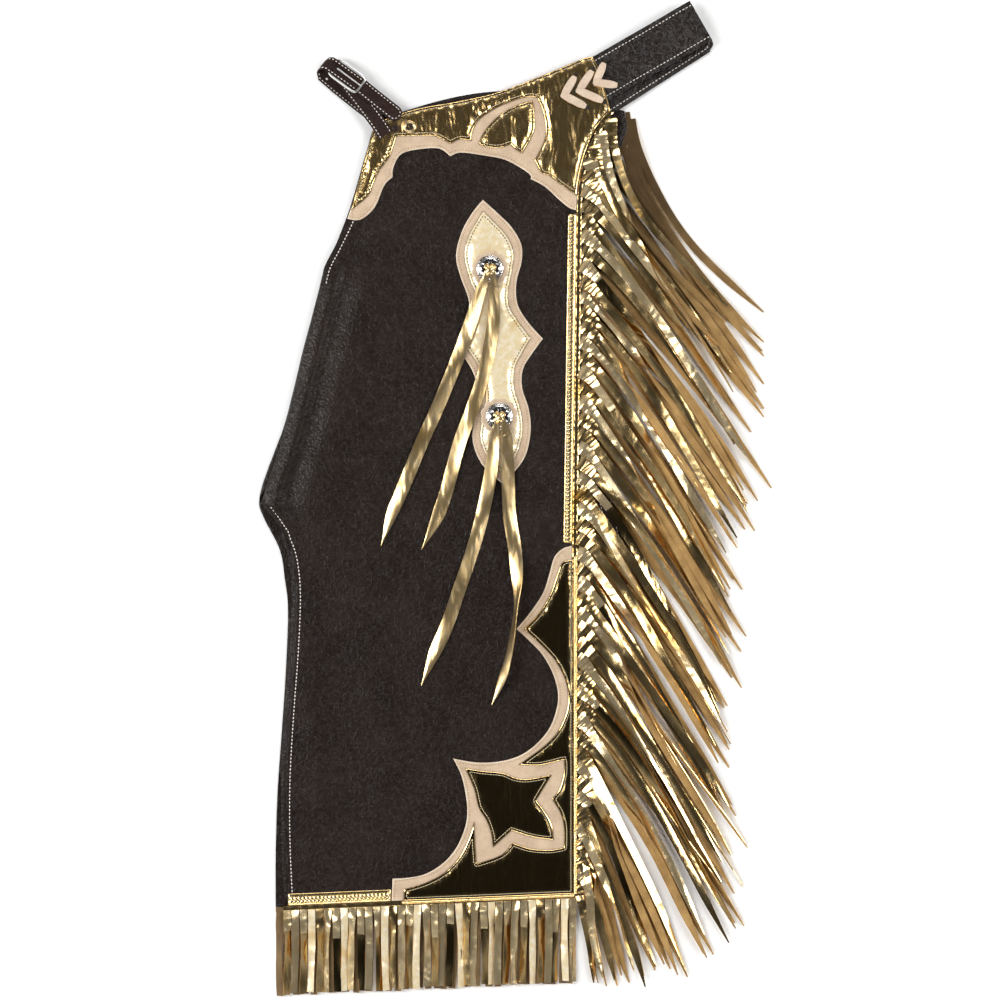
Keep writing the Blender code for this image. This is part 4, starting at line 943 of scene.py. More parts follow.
def ridge_roll(name, line, width, rise, base, foot):
    """A gold ridge along a line: half a flattened tube, rise * cos of the way across, rippled along by stitches."""
    u = np.linspace(-1, 1, 9)
    length = along_line(line)
    s = np.arange(0, length[-1], 0.8)
    centre = np.stack([np.interp(s, length, line[:, i]) for i in (0, 1)], 1)
    along = np.gradient(centre, axis=0)
    side = np.stack([-along[:, 1], along[:, 0]], 1) / np.linalg.norm(along, axis=1)[:, None]
    xy = centre[:, None] + u[None, :, None] * width / 2 * side[:, None]
    ripple = 1 + 0.38 * np.sin(2 * math.pi * (s[:, None] + 1.2 * u[None]) / 3.1)
    z = base + leg_height(xy[..., 0], xy[..., 1]) - LAP_HEIGHT + rise * np.cos(u * math.pi / 2) * ripple
    upper, lower = (np.concatenate([xy, level[..., None]], -1) for level in (z, z * 0 + foot))
    points = np.concatenate([upper, lower[:, ::-1]], 1)
    rows, columns = points.shape[:2]
    j = np.arange(8)
    cap = np.stack([j, j + 1, 16 - j, 17 - j], 1)
    quads = np.concatenate([grid_quads(rows, columns, around=True), cap, cap + (rows - 1) * columns])
    return place(name, close_up(mesh_of(name, points.reshape(-1, 3), quads)), [strip_gold])


ridge_roll("corner_side_ridge", side_ridge, 3.6, 1.5, ON_UNDERLAY + 0.3, 7.5)
ridge_roll("corner_hem_ridge", hem_ridge, 3.6, 1.5, ON_UNDERLAY + 0.3, 7.5)

# The fringe of both legs: ribbons cut into the edge of gold leather, foil on the face and tan suede on
# the back. Each strand ripples at its root, swings out and hangs down, and leans or turns as it goes.
FRINGE_FALL = [
    # root_y, reach, drop
    (-414, 12, 100), (-370, 42, 142), (-330, 72, 180), (-270, 112, 225), (-210, 162, 245), (-150, 160, 240),
    (-50, 148, 232), (50, 160, 240), (150, 152, 240), (250, 178, 238), (320, 165, 225), (360, 145, 220),
    (412, 128, 208),
]
SIDE_PITCH = 16.0
FIRST_ROOT = 8.0
ROOT_WIDTH = 9.2
LONGEST = (271.1, 12.0)
LONGEST_STRAND = 10
LOWEST_TIP = -516.0
FRINGE_THICK = 1.2
TOP_STRIP = (5.6, 7.2)
UNDER_STRIP = (0.3, 1.8)
TOP_LEVELS = [(6.6, 4.1), (8.5, 5.9), (10.4, 7.7)]
UNDER_LEVELS = [(0.95, 0.95), (2.4, 2.4)]
TOP_HEM_LEVELS = [(5.8, 4.3), (7.4, 5.9)]
UNDER_HEM_LEVELS = [(1.0, 0.9), (2.45, 2.4)]
TOP_HEM = [(-246, -430.2), (65.2, -417)]
UNDER_HEM = [(-254, -432), (62, -419)]
HEM_STRANDS = 36
HEM_DROP = 94.0
SIDE_TONES = (0, 2, 0, 3, 0, 2, 0)
# Tone 4 is the plate's pale gold: painted reflection on those hem strands.
HEM_TONES = (2, 4, 3, 2, 0, 4, 3, 2, 3)

strand_gold = foil(
    "strand_gold", (0.90, 0.62, 0.26), (1.0, 0.82, 0.50), (0.96, 0.56, 0.14), 1.5, 0.02, 0.003, 0.185
)
hem_gold = foil("hem_gold", (0.92, 0.70, 0.38), (1.0, 0.88, 0.62), (0.92, 0.66, 0.30), 2.4, 0.02, 0.003, 0.2, metal=0.86)
SUEDE, given, out = effect(
    "suede",
    [("Colour", "Color"), ("Shade", "Color")],
    [("Color", "Color"), ("Roughness", "Float"), ("Height", "Float")],
)
where = node(SUEDE, "TexCoord").outputs["Object"]
nap = noise(SUEDE, where, 800.0, 3.0, 0.5)
drift = noise(SUEDE, where, 55.0, 3.0)
tone = maths(SUEDE, "MULTIPLY_ADD", nap, 0.5, maths(SUEDE, "MULTIPLY", drift, 0.7))
shade = mix(SUEDE, ramp(SUEDE, tone, [(0.36, 0.0), (0.80, 1.0)]), given["Shade"], given["Colour"])
# Painted shade: every suede face darkens towards near black from about y = 140 mm up (90% by 310 mm), where the under
# fringe lies in the top leg's shade.
high_up = node(SUEDE, "SeparateXYZ", {0: where}).outputs["Y"]
fade = ramp(SUEDE, maths(SUEDE, "MULTIPLY", high_up, 2.0), [(0.28, 0.0), (0.62, 0.9)])
SUEDE.links.new(mix(SUEDE, fade, shade, (0.03, 0.018, 0.008, 1)), out["Color"])
SUEDE.links.new(maths(SUEDE, "MULTIPLY_ADD", nap, 0.2, 0.75), out["Roughness"])
SUEDE.links.new(nap, out["Height"])
suede_back = finish_of(
    "suede_back", SUEDE, {"Colour": (0.47, 0.29, 0.11, 1), "Shade": (0.21, 0.115, 0.038, 1)}, bump=0.3, depth=0.0005,
    gloss=0.15,
)


# A darker copy of the suede for the under leg's hem fringe: painted shade, where it lies under the top leg's hem
# fringe.
suede_painted_shade = finish_of(
    "suede_painted_shade", SUEDE, {"Colour": (0.20, 0.125, 0.05, 1), "Shade": (0.09, 0.052, 0.02, 1)}, bump=0.3, depth=0.0005
)


def frames(paths, roll=0.0):
    """Side and up directions along paths: the side lies level and left of the path, turned about it by the roll."""
    along = np.gradient(paths, axis=-2)
    along /= np.linalg.norm(along, axis=-1)[..., None]
    side = np.stack([-along[..., 1], along[..., 0], np.zeros(along.shape[:-1])], -1)
    side /= np.linalg.norm(side, axis=-1)[..., None]
    up = np.cross(along, side)
    roll = np.broadcast_to(roll, along.shape[:-1])[..., None]
    return side * np.cos(roll) + up * np.sin(roll), up * np.cos(roll) - side * np.sin(roll)


def ribbon_arrays(centres, side, up, widths, thick, across=5, curl=0.0, relief=0.0):
    """Closed ribbons along paths, all at once: points, faces, and 1 for each face of the back and the edges.

    Across a ribbon u runs from 1 to -1. Its face is thick/2 * (1 - 0.45 u^6) above the path plus
    curl * u^2 * width/2, its back as far below, and caps close both ends.
    """
    count, stations = centres.shape[:2]
    u = np.linspace(1, -1, across)
    half = np.broadcast_to(widths, (count, stations))[..., None] / 2
    bow = np.broadcast_to(curl, (count, stations))[..., None] * half * u**2
    wall = thick / 2 * (1 - 0.45 * np.abs(u) ** 6)
    relief = np.broadcast_to(relief, (count, stations, across))
    sideways = centres[:, :, None] + side[:, :, None] * (half * u)[..., None]
    top = sideways + up[:, :, None] * (bow + wall + relief)[..., None]
    back = sideways + up[:, :, None] * (bow - wall)[..., None]
    points = np.concatenate([top, back[:, :, ::-1]], 2)
    around = 2 * across
    quads = grid_quads(stations, around, around=True)
    j = np.arange(across - 1)
    cap = np.stack([j, j + 1, around - 2 - j, around - 1 - j], 1)
    face = np.tile(np.concatenate([np.zeros(across - 1, int), np.ones(across + 1, int)]), stations - 1)
    faces = np.concatenate([quads, cap[:, ::-1], cap + (stations - 1) * around])
    kinds = np.concatenate([face, np.ones(2 * len(cap), int)])
    step = (np.arange(count) * stations * around)[:, None, None]
    return points.reshape(-1, 3), (faces[None] + step).reshape(-1, 4), np.tile(kinds, count)


def join_arrays(*parts):
    """Several sets of points, faces and kinds as one."""
    offsets = np.cumsum([0] + [len(p[0]) for p in parts[:-1]])
    points = np.concatenate([p[0] for p in parts])
    faces = np.concatenate([p[1] + offset for p, offset in zip(parts, offsets)])
    return points, faces, np.concatenate([p[2] for p in parts])


def tinted(ribbons, count, tones, root):
    """Ribbons whose faces take the given finishes in turn, strand by strand. A 3 is a 2 as far as the root station."""
    points, faces, kinds = ribbons
    strand, spot = np.divmod(np.arange(len(faces)), len(faces) // count)
    tone = np.array(tones)[strand % len(tones)]
    tone = np.where((tone == 3) & (spot // 10 < root + strand * 7 % 5), 2, tone)
    return points, faces, np.where(kinds == 0, tone, kinds)


def root_strip(line, strip, ripple):
    """The uncut strip between the seam and the strands: a ribbon along the edge, puckered by its seam."""
    line = np.array(line, float)
    length = np.concatenate([[0], np.cumsum(np.linalg.norm(np.diff(line, axis=0), axis=1))])
    s = np.arange(0, length[-1], 1.7)
    path = np.stack([np.interp(s, length, line[:, 0]), np.interp(s, length, line[:, 1]), s * 0], 1)
    side, up = frames(path)
    path = path - side * EDGE_STRIP / 2
    path[:, 2] = sum(strip) / 2
    wave = ripple * np.sin(2 * math.pi * s / 12.5 + 1.2 * np.sin(s / 23))[None, :, None]
    return ribbon_arrays(path[None], side[None], up[None], EDGE_STRIP, strip[1] - strip[0], 6, 0.0, wave)


def side_strands(edge, levels, strip, seed, stretch, under):
    """Every strand off the outer edge: a Bezier curve from its root to its tip, with ripples, lean and turns.

    A ripple is a raised cosine wave that dies away from the root. Lean is a slow sine of the way along.
    """
    rng = random.Random(seed)
    line = np.array(edge, float)
    length = np.concatenate([[0], np.cumsum(np.linalg.norm(np.diff(line, axis=0), axis=1))])
    count = int((length[-1] - FIRST_ROOT) / SIDE_PITCH) + 1
    fall = np.array(FRINGE_FALL, float)
    starts, bends, lates, tips, turns = [], [], [], [], []
    looks = random.Random(seed + 50)
    for k in range(count):
        middle = FIRST_ROOT + k * SIDE_PITCH
        x = float(np.interp(middle, length, line[:, 0]))
        y = float(np.interp(middle, length, line[:, 1]))
        reach = np.interp(y, fall[:, 0], fall[:, 1]) * stretch * rng.uniform(0.93, 1.05)
        drop = np.interp(y, fall[:, 0], fall[:, 2]) * rng.uniform(0.93, 1.05)
        tip = np.array([min(x + reach, LONGEST[0] - 8), max(y - drop, LOWEST_TIP)])
        if under and k == LONGEST_STRAND:
            tip = np.array(LONGEST)
        start = np.array([x, y])
        starts.append(start)
        steep = smooth((y - 330) / 60)
        bends.append(start + (tip - start) * (0.1 - 0.05 * steep, 0.02 + 0.36 * steep) + (9 - 5 * steep, -5))
        lates.append(tip - (tip - start) * (0.34 + 0.22 * steep, 0.40 - 0.06 * steep))
        tips.append(tip)
        flip = looks.choice((0, 0, 0, 0, 0.9, -0.9, 2.8, -2.8)) if not under else looks.choice((0, 0, 0, 1.0))
        turns.append((looks.uniform(0, 6.28), looks.uniform(0.8, 1.7), looks.uniform(0.2, 0.5), flip))
    start, bend, late, tip, turn = (np.array(v)[:, None] for v in (starts, bends, lates, tips, turns))
    t = np.concatenate([np.linspace(0, 0.2, 17)[:-1], np.linspace(0.2, 1, 20)])[None, :, None]
    xy = start * (1 - t) ** 3 + 3 * bend * t * (1 - t) ** 2 + 3 * late * t**2 * (1 - t) + tip * t**3
    t = t[..., 0]
    wander = np.sin(math.pi * t) * np.sin(turn[..., 0] + 5 * t)
    xy[..., 0] += 3.2 * wander
    middle_z = np.array([levels[k % len(levels)][0] for k in range(count)])[:, None]
    settled = np.array([levels[k % len(levels)][1] for k in range(count)])[:, None]
    root_z = sum(strip) / 2
    rise = smooth((xy[..., 0] - start[..., 0]) / 16)
    far = np.maximum(smooth((xy[..., 0] - 128) / 60), smooth((-395 - xy[..., 1]) / 80))
    z = root_z + (middle_z + (settled - middle_z) * far - root_z) * rise
    run = np.concatenate([np.zeros((count, 1)), np.cumsum(np.linalg.norm(np.diff(xy, axis=1), axis=-1), 1)], 1)
    ripple = 0.5 - 0.5 * np.cos(2 * math.pi * run / (12.6 + 1.4 * np.sin(turn[..., 0])))
    z = z + (0.5 if under else 2.2) * ripple * np.exp(-((run / 40) ** 2)) * smooth(run / 4)
    width = np.interp(t[0], (0, 0.1, 0.85, 1), (9.6, 9.2, 7.8, 1.4))[None]
    width = width + (0.4 if under else 7.2) * (1 - smooth(run / 26))
    roll = turn[..., 2] * np.sin(turn[..., 0] + 6.28 * turn[..., 1] * t) * smooth(run / 26)
    roll = roll + turn[..., 3] * smooth((t - 0.25 - 0.03 * turn[..., 0]) / 0.3)
    curl = 0.13 * np.sin(turn[..., 0] * 2 + 4 * t)
    z = np.maximum(z, (np.abs(np.sin(roll)) + np.maximum(-curl, 0)) * width / 2 + 0.75)
    path = np.concatenate([xy, z[..., None]], -1)
    side, up = frames(path, roll)
    strands = ribbon_arrays(path, side, up, width, FRINGE_THICK, 5, curl)
    if not under:
        strands = tinted(strands, count, SIDE_TONES, 15)
    return join_arrays(strands, root_strip(edge, strip, 0.0 if under else 0.3))


def hem_strands(hem, strip, levels, seed, under):
    """Every strand of the hem: straight down with a small lean, a bend in height near a third, and a turn."""
    rng = random.Random(seed)
    looks = random.Random(seed + 50)
    line = np.array(hem, float)
    line[:, 1] -= EDGE_STRIP
    line = line[::-1]
    length = float(np.linalg.norm(line[1] - line[0]))
    pitch = length / HEM_STRANDS
    k = np.arange(HEM_STRANDS)
    root = line[0] + (line[1] - line[0]) * ((k + 0.5) / HEM_STRANDS)[:, None]
    lean, drop = [], []
    for i in k:
        lean.append(rng.uniform(-2.6, 2.6) * (0.3 if i in (0, HEM_STRANDS - 1) else 1))
        drop.append(HEM_DROP - EDGE_STRIP + rng.uniform(-2.5, 0))
    drop[-1] = HEM_DROP - EDGE_STRIP
    lean, drop = np.array(lean)[:, None], np.array(drop)[:, None]
    t = np.linspace(0, 1, 26)[None]
    lean_by = (-0.6, -0.5, -0.44, -0.36, -0.1, 0.08, 0.36, 0.44, 0.52, 0.6)
    turn = np.array([[looks.uniform(0, 6.28), looks.choice(lean_by), looks.uniform(0.22, 0.40)] for _ in k])
    turn = turn[:, None]
    x = root[:, :1] + lean * t + 1.1 * np.sin(math.pi * t) * np.sin(turn[..., 0])
    y = root[:, 1:] - drop * t
    near = np.array([levels[i % 2][0] for i in k])[:, None]
    last = np.array([levels[i % 2][1] for i in k])[:, None]
    bend = turn[..., 2]
    z = sum(strip) / 2 + (near - sum(strip) / 2) * smooth(t / 0.12)
    z = z + (0 if under else 2.2) * smooth(t / 0.1) * (1 - smooth((t - bend + 0.16) / 0.2)) + (last - near) * t
    roll = turn[..., 1] * smooth((t - 0.05) / 0.25) + 0.16 * np.sin(turn[..., 0] + 8 * t)
    width = np.broadcast_to(pitch - 0.9, t.shape)
    z = np.maximum(z, np.abs(np.sin(roll)) * width / 2 + 0.7)
    path = np.stack(np.broadcast_arrays(x, y, z), -1)
    side, up = frames(path, roll)
    strands = ribbon_arrays(path, side, up, width, FRINGE_THICK, 5, 0.08 * np.sin(turn[..., 0]))
    if not under:
        strands = tinted(strands, HEM_STRANDS, HEM_TONES, 6)
    return join_arrays(strands, root_strip(line, strip, 0.0 if under else 0.14))


FRINGES = [
    # name, strands, whether it lies face down with its suede up, replaced node
    ("side_fringe_gold", side_strands(TOP_EDGE, TOP_LEVELS, TOP_STRIP, 4, 1.0, False), 0, "side_fringe"),
    ("side_fringe_under", side_strands(UNDER_EDGE, UNDER_LEVELS, UNDER_STRIP, 9, 1.1, True), 1, "under_side_fringe"),
    ("hem_fringe_gold", hem_strands(TOP_HEM, TOP_STRIP, TOP_HEM_LEVELS, 12, False), 0, "hem_fringe"),
    ("hem_fringe_under", hem_strands(UNDER_HEM, UNDER_STRIP, UNDER_HEM_LEVELS, 21, True), 1, "under_hem_fringe"),
]
for name, (points, faces, kinds), face_down, node_name in FRINGES:
    # The under hem fringe takes the darker suede, which is painted shade.
    back = suede_painted_shade if "hem" in name else suede_back
    finishes = [strand_gold, suede_back, hem_gold, corner_gold, plate_gold_painted_glare]
    if face_down:
        finishes = [back, strand_gold]
    place(name, mesh_of(name, points, faces, sides=kinds, sharp=60), finishes, [node_name])

# The string pairs: two gold strings knotted through the middle of each concho, flat ribbons that hang
# over the plate and the leg and end in a knife cut.
STRING_WIDTH = 14.0
KNOT_HEIGHT = ON_ROSETTE + TRIM + GAP + 3.4
STRINGS = {
    "upper": [
        # x, y, underside
        [(-28, 246, KNOT_HEIGHT + 0.3), (-30, 238, KNOT_HEIGHT - 0.4), (-34, 227, ON_ROSETTE + 2.8),
         (-37, 219, ON_ROSETTE + 1.2), (-48, 185, ON_TRIM + 1.0), (-62, 147, ON_TRIM), (-80, 103, ON_PANEL + 0.4),
         (-98, 63, ON_PANEL), (-117, 16, ON_PANEL), (-142, -49, ON_PANEL)],
        [(-25, 246, KNOT_HEIGHT + 1.2), (-24, 238, KNOT_HEIGHT + 0.2), (-22.5, 227, ON_ROSETTE + 3.4),
         (-22.5, 219, ON_ROSETTE + 2.1), (-24, 185, ON_TRIM + 2.3), (-32, 138, ON_TRIM + 1), (-47, 92, ON_TRIM + 0.4),
         (-59, 60, ON_PANEL + 0.4), (-74, 8, ON_PANEL), (-99.5, -53, ON_PANEL)],
    ],
    "lower": [
        [(-18, 90, KNOT_HEIGHT + 0.3), (-19, 82, KNOT_HEIGHT - 0.4), (-21.5, 71, ON_ROSETTE + 2.8),
         (-22.5, 63, ON_ROSETTE + 1.2), (-26, 29, ON_TRIM + 0.6), (-35, -16, ON_PANEL + 0.5), (-45, -52, ON_PANEL),
         (-60, -96, ON_PANEL), (-76, -144, ON_PANEL), (-99.5, -197, ON_PANEL)],
        [(-15, 90, KNOT_HEIGHT + 1.2), (-13.5, 82, KNOT_HEIGHT + 0.2), (-10, 71, ON_ROSETTE + 3.4),
         (-8.5, 63, ON_ROSETTE + 2.1), (-8, 26, ON_TRIM + 1.6), (-6, -18, ON_PANEL + 1.5), (0, -58, ON_PANEL + 1.5),
         (2, -104, ON_TRIM + 1.8), (-7, -160, ON_TRIM + 2.2), (-25, -217, ON_PANEL + 0.6)],
    ],
}
ROSETTES = {"upper": (-27, 244), "lower": (-17, 88)}
string_gold = foil(
    "string_gold", (0.90, 0.64, 0.30), (1.0, 0.84, 0.56), (0.80, 0.54, 0.22), 1.9, 0.05, 0.03, 0.27, (1.4, 0.5, 1)
)


def string_pair(pair, spot, turned):
    """Two strings and their knot: ribbons whose width closes to one side at the tip, and two crossed loops."""
    parts = []
    for number, rows in enumerate(pair):
        path = run_through(rows, 6)
        path[:, 2] += TRIM / 2 + lay(path[:, 0], path[:, 1])
        run = along_line(path)
        left = run[-1] - run
        width = STRING_WIDTH * np.interp(run, (0, 10, 26, 60), (0.42, 0.46, 0.78, 1.0)) * np.clip(left / 40, 0.03, 1)
        roll = 0.20 * np.sin(run / 34 + 2.1 * number) * smooth(run / 30)
        if turned and number:
            roll = roll + 1.15 * smooth((run - 150) / 60) * (1 - 0.6 * smooth((run - 265) / 45))
        path[:, 2] += np.abs(np.sin(roll)) * width / 2 * 0.8
        side, up = frames(path, roll)
        knife = (STRING_WIDTH - width) / 4 * (left < 45) - STRING_WIDTH / 4 * smooth(1 - left / 90)
        path = path - side * knife[:, None] * (1 if number else -1)
        parts.append(ribbon_arrays(path[None], side[None], up[None], width[None], TRIM, 7, 0.12 * np.sin(run / 25)[None]))
    for lean in (0.75, -0.75):
        t = np.linspace(-1, 1, 17)
        loop = np.stack([spot[0] + 8.0 * t * math.cos(lean) * 0.8, spot[1] - 1.5 + 7.5 * t * math.sin(lean),
                         KNOT_HEIGHT - 0.9 + 3.4 * np.cos(t * math.pi / 2) ** 0.7 + (0.9 if lean > 0 else 0)], 1)
        side, up = frames(loop)
        parts.append(ribbon_arrays(loop[None], side[None], up[None], 6.2, 1.4, 7, -0.35))
    return join_arrays(*parts)


for where_to, pair in STRINGS.items():
    points, faces, kinds = string_pair(pair, ROSETTES[where_to], where_to == "lower")
    mesh = mesh_of(f"strings_{where_to}_gold", points, faces, sides=kinds, sharp=60)
    place(mesh.name, mesh, [string_gold, gold_edge], [f"strings_{where_to}"])

# The conchos: a scalloped tan leather rosette under a domed silver disc with a fluted face and a rope
# edge, polished, with the strings' slots behind the knot.
def rosette_loop(centre):
    """A circle whose radius swells once for each of twelve lobes."""
    angle = np.arange(144) * 2 * math.pi / 144
    radius = 18.4 + 1.7 * np.abs(np.sin(6 * angle)) ** 0.8
    return np.column_stack([centre[0] + radius * np.cos(angle), centre[1] + radius * np.sin(angle)])


silver = plain("silver", (0.80, 0.79, 0.77), 0.08, 1.0)
CONCHO = [
    # radius, height
    (0, 2.6), (3.0, 2.75), (5.0, 3.0), (8.0, 2.9), (10.6, 2.2), (11.6, 1.35), (12.2, 1.3), (12.9, 1.75), (13.8, 1.7),
    (14.4, 1.0), (14.4, 0.05), (0, 0.0),
]


def turned(name, profile, centre, base, finish, nodes, slot, flutes=0, ropes=0):
    """A profile turned about an upright axis. Flutes press its face in, flutes times round, and ropes bead its rim."""
    rows = run_through(profile[:-2], 3)
    rows = np.concatenate([rows, np.array(profile[-2:], float)])
    angle = np.arange(96) * 2 * math.pi / 96
    r, h = rows[:, :1], rows[:, 1:]
    face = (np.arange(len(rows)) < len(rows) - 2)[:, None]
    press = np.exp(-(((r - 7.6) / 2.8) ** 2)) * (0.2 - 0.2 * np.cos(flutes * angle)) * face if flutes else 0
    bead = np.exp(-(((r - 13.2) / 0.9) ** 2)) * 0.16 * np.sin(ropes * angle + 1.6 * r) * face if ropes else 0
    x = centre[0] + r * np.cos(angle)
    y = centre[1] + r * np.sin(angle)
    z = base + lay(centre[0], centre[1]) + h - press + bead
    points = np.stack(np.broadcast_arrays(x, y, z), -1)
    quads = grid_quads(len(rows), 96, around=True)[:, ::-1]
    mesh = close_up(mesh_of(name, points.reshape(-1, 3), quads, sharp=40))
    return place(name, mesh, [finish], nodes)


for where_to, centre in ROSETTES.items():
    name = f"rosette_{where_to}"
    relief = lambda gap, s, x, y: 0.25 * smooth(gap / 4)
    made = cut_from(f"{name}_tan", rosette_loop(centre), ON_TRIM, relief, [tan_leather, tan_edge], [name], rim=0.8)
    turned(f"concho_{where_to}_silver", CONCHO, centre, ON_ROSETTE + 0.3, silver, [f"concho_{where_to}"], "silver_metal", 8, 24)

# The back belt: wide dark leather, stitched white along both edges, that comes from under the yoke and is
# folded back on itself in a soft loop. Its lower run comes out beyond the upper one.
BELT_WIDTH = 48.0
BELT_THICK = 2.4
BELT_TOP = [
    # x, y, middle height, heading in degrees
    (46.5, 420.5, 7.5, 29.8), (72, 435, 7.5, 29.8), (98, 450, 7.6, 29.8), (126, 466, 9, 29.8),
    (156, 483, 11.2, 29.8), (193.2, 504.7, 12.2, 29.8),
]
BELT_LOW = [
    (191, 493.2, 2.1, 32.2), (158, 472, 2.1, 32.2), (140, 460.5, 2.2, 32.2), (126, 451.5, 2.8, 32.2),
    (112, 442.5, 3.5, 32.2), (60, 409.5, 3.5, 32.2),
]


def fold_over(top, low, steps=14):
    """The half turn between the last upper place and the first lower one: a half circle out past both."""
    start, end = np.array(top, float), np.array(low, float)
    share = np.arange(1, steps)[:, None] / steps
    rows = start + (end - start) * share
    radius = (start[2] - end[2]) / 2
    angle = math.pi * share[:, 0]
    out_by = radius * np.sin(angle) * (1 if start[0] > 0 else -1)
    heading = np.radians(rows[:, 3])
    rows[:, 0] += out_by * np.cos(heading)
    rows[:, 1] += out_by * np.sin(heading)
    rows[:, 2] = (start[2] + end[2]) / 2 + radius * np.cos(angle)
    return rows.tolist()


def strap_path(rows, steps=5):
    """Points, side and up directions of a strap whose sides stay level, along a smooth curve through its places."""
    run = run_through(rows, steps)
    path = run[:, :3]
    turn = np.radians(run[:, 3] + 90)
    side = np.stack([np.cos(turn), np.sin(turn), turn * 0], 1)
    along = np.gradient(path, axis=0)
    up = np.cross(along, side)
    facing = 1 if up[0, 2] > 0 else -1
    return path, side * facing, up * facing / np.linalg.norm(up, axis=1)[:, None]


def strap_row(strap, offset, lift, pick=slice(None), back=False):
    """A row for sewing along a strap, at a distance from its middle, on its face or on its back."""
    path, side, up = (values[pick] for values in strap)
    up = -up if back else up
    return path + side * offset + up * lift, up


belt_hide = finish_of(
    "belt_hide",
    HIDE,
    {"Deep": (0.0070, 0.0048, 0.0041, 1), "Worn": (0.021, 0.0148, 0.0128, 1), "Pebbles": 420.0, "Shine": 0.20},
    bump=0.8,
    depth=0.001,
    gloss=0.4,
)
belt = strap_path(BELT_TOP + fold_over(BELT_TOP[-1], BELT_LOW[0]) + BELT_LOW, 4)
belt_run = along_line(belt[0])
u = np.linspace(1, -1, 25)
slant = belt_run[:, None] + 17 * u[None]
wrinkle = 0.42 * np.sin(slant / 3.3 + 1.7 * np.sin(slant / 19)) * np.sin(slant / 13.0 + 2 * u[None]) ** 2
wrinkle = wrinkle * smooth((1 - np.abs(u)) / 0.25) - 0.30 * np.exp(-(((np.abs(u) - 0.80) / 0.045) ** 2))
points, faces, kinds = ribbon_arrays(
    belt[0][None], belt[1][None], belt[2][None], BELT_WIDTH, BELT_THICK, 25, 0.0, wrinkle[None]
)
place("belt", mesh_of("belt", points, faces), [belt_hide], ["back_belt"])
half = len(BELT_TOP) * 4 + 26
edge = BELT_WIDTH * 0.4
rows = [strap_row(belt, sign * edge, BELT_THICK / 2 - 0.15) for sign in (1, -1)]
rows += [strap_row(belt, sign * edge, BELT_THICK / 2 + 0.1, slice(half, None), True) for sign in (1, -1)]
sew("belt_stitching", rows, white_thread, 4.1, 2.7, 0.95, 0.45)

# The lacing that ties the belt to the yoke: three pointed laces of flat tan leather, each of two arms
# that come up through oval holes and meet at a point.
CHEVRONS = [
    ((62, 446), (51, 427), (73, 416)),
    ((80, 452), (67, 432), (91, 422)),
    ((93, 460), (85, 440.5), (106, 438)),
]
LACE_WIDTH = 8.2
lace_tan = finish_of(
    "lace_tan",
    NATURAL,
    {"Colour": (0.68, 0.54, 0.41, 1), "Shade": (0.48, 0.36, 0.26, 1), "Shine": 0.55},
    bump=0.35,
    depth=0.0004,
)
for number, chevron in enumerate(CHEVRONS, 1):
    parts, ends = [], []
    for arm, (start, end) in enumerate(((chevron[0], chevron[1]), (chevron[2], chevron[1]))):
        start, end = np.array(start, float), np.array(end, float)
        reach = (end - start) / np.linalg.norm(end - start)
        t = np.linspace(0, 1, 15)[:, None]
        xy = start - reach * 1.5 + (end + reach * 2.4 - start + reach * 1.5) * t
        arch = 1.5 * np.sin(math.pi * np.clip(t[:, 0] * 0.9, 0, 1)) ** 0.7
        z = ON_TRIM + 0.75 + 1.25 * arm * t[:, 0] + arch * 0.8
        path = np.column_stack([xy, z])
        side, up = frames(path)
        width = LACE_WIDTH * np.interp(t[:, 0], (0, 0.12, 0.3, 0.7, 1), (0.6, 0.86, 1.0, 1.0, 0.72))
        parts.append(ribbon_arrays(path[None], side[None], up[None], width[None], TRIM, 9, -0.12))
        hole = np.array([start - reach * 6.2, start - reach * 0.2])
        ends.append((np.column_stack([hole, [ON_TRIM + 0.8] * 2]), level))
    turn_hole = np.array(chevron[1]) + [(-5.2, 0.6), (0.6, -0.6)]
    ends.append((np.column_stack([turn_hole, [ON_TRIM + 0.8] * 2]), level))
    points, faces, kinds = join_arrays(*parts)
    mesh = mesh_of(f"lace_{number}", points, faces, sides=kinds, sharp=60)
    place(mesh.name, mesh, [lace_tan, tan_edge], [f"lace_chevron_{number}"])
    # The holes that the laces pass through: dark marks of painted shade.
    sew(f"lace_holes_{number}", ends, hole_painted_shade, 5.6, 5.8, 5.0, 0.35)

# The front strap: a stitched billet with a rounded tip that folds back, through a small silver buckle on
# its own strap. The buckle stays fastened.
STRAP_WIDTH = 16.4
STRAP_THICK = 1.6
BILLET_TOP = [
    (-128, 408.6, 11.6, -39), (-140, 418, 11.7, -38), (-152, 427.6, 11.5, -37), (-163.4, 436.8, 11.4, -36.5),
    (-178, 447.6, 11.7, -36.5), (-192.2, 457.6, 12.2, -37), (-197.5, 461, 12.2, -40),
]
BILLET_LOW = [
    (-203, 450.5, 1.2, -38), (-188, 437.5, 1.2, -37), (-172, 424.5, 1.7, -37), (-160, 415, 3.0, -37),
    (-148, 406, 3.3, -37), (-133, 394, 3.3, -37),
]
BUCKLE_STRAP = [
    (-137, 385, 11.7, -55), (-143, 394.5, 11.7, -56), (-149, 403, 11.6, -54), (-155, 411, 10.6, -53),
    (-163, 421.5, 9.4, -52), (-176, 438.5, 8.9, -48), (-188, 454.6, 8.9, -37),
]
strap_hide = finish_of(
    "strap_hide",
    HIDE,
    {"Deep": (0.0125, 0.0056, 0.0042, 1), "Worn": (0.036, 0.0175, 0.013, 1), "Pebbles": 700.0, "Shine": 0.30},
    bump=0.5,
    depth=0.0005,
    gloss=0.2,
)


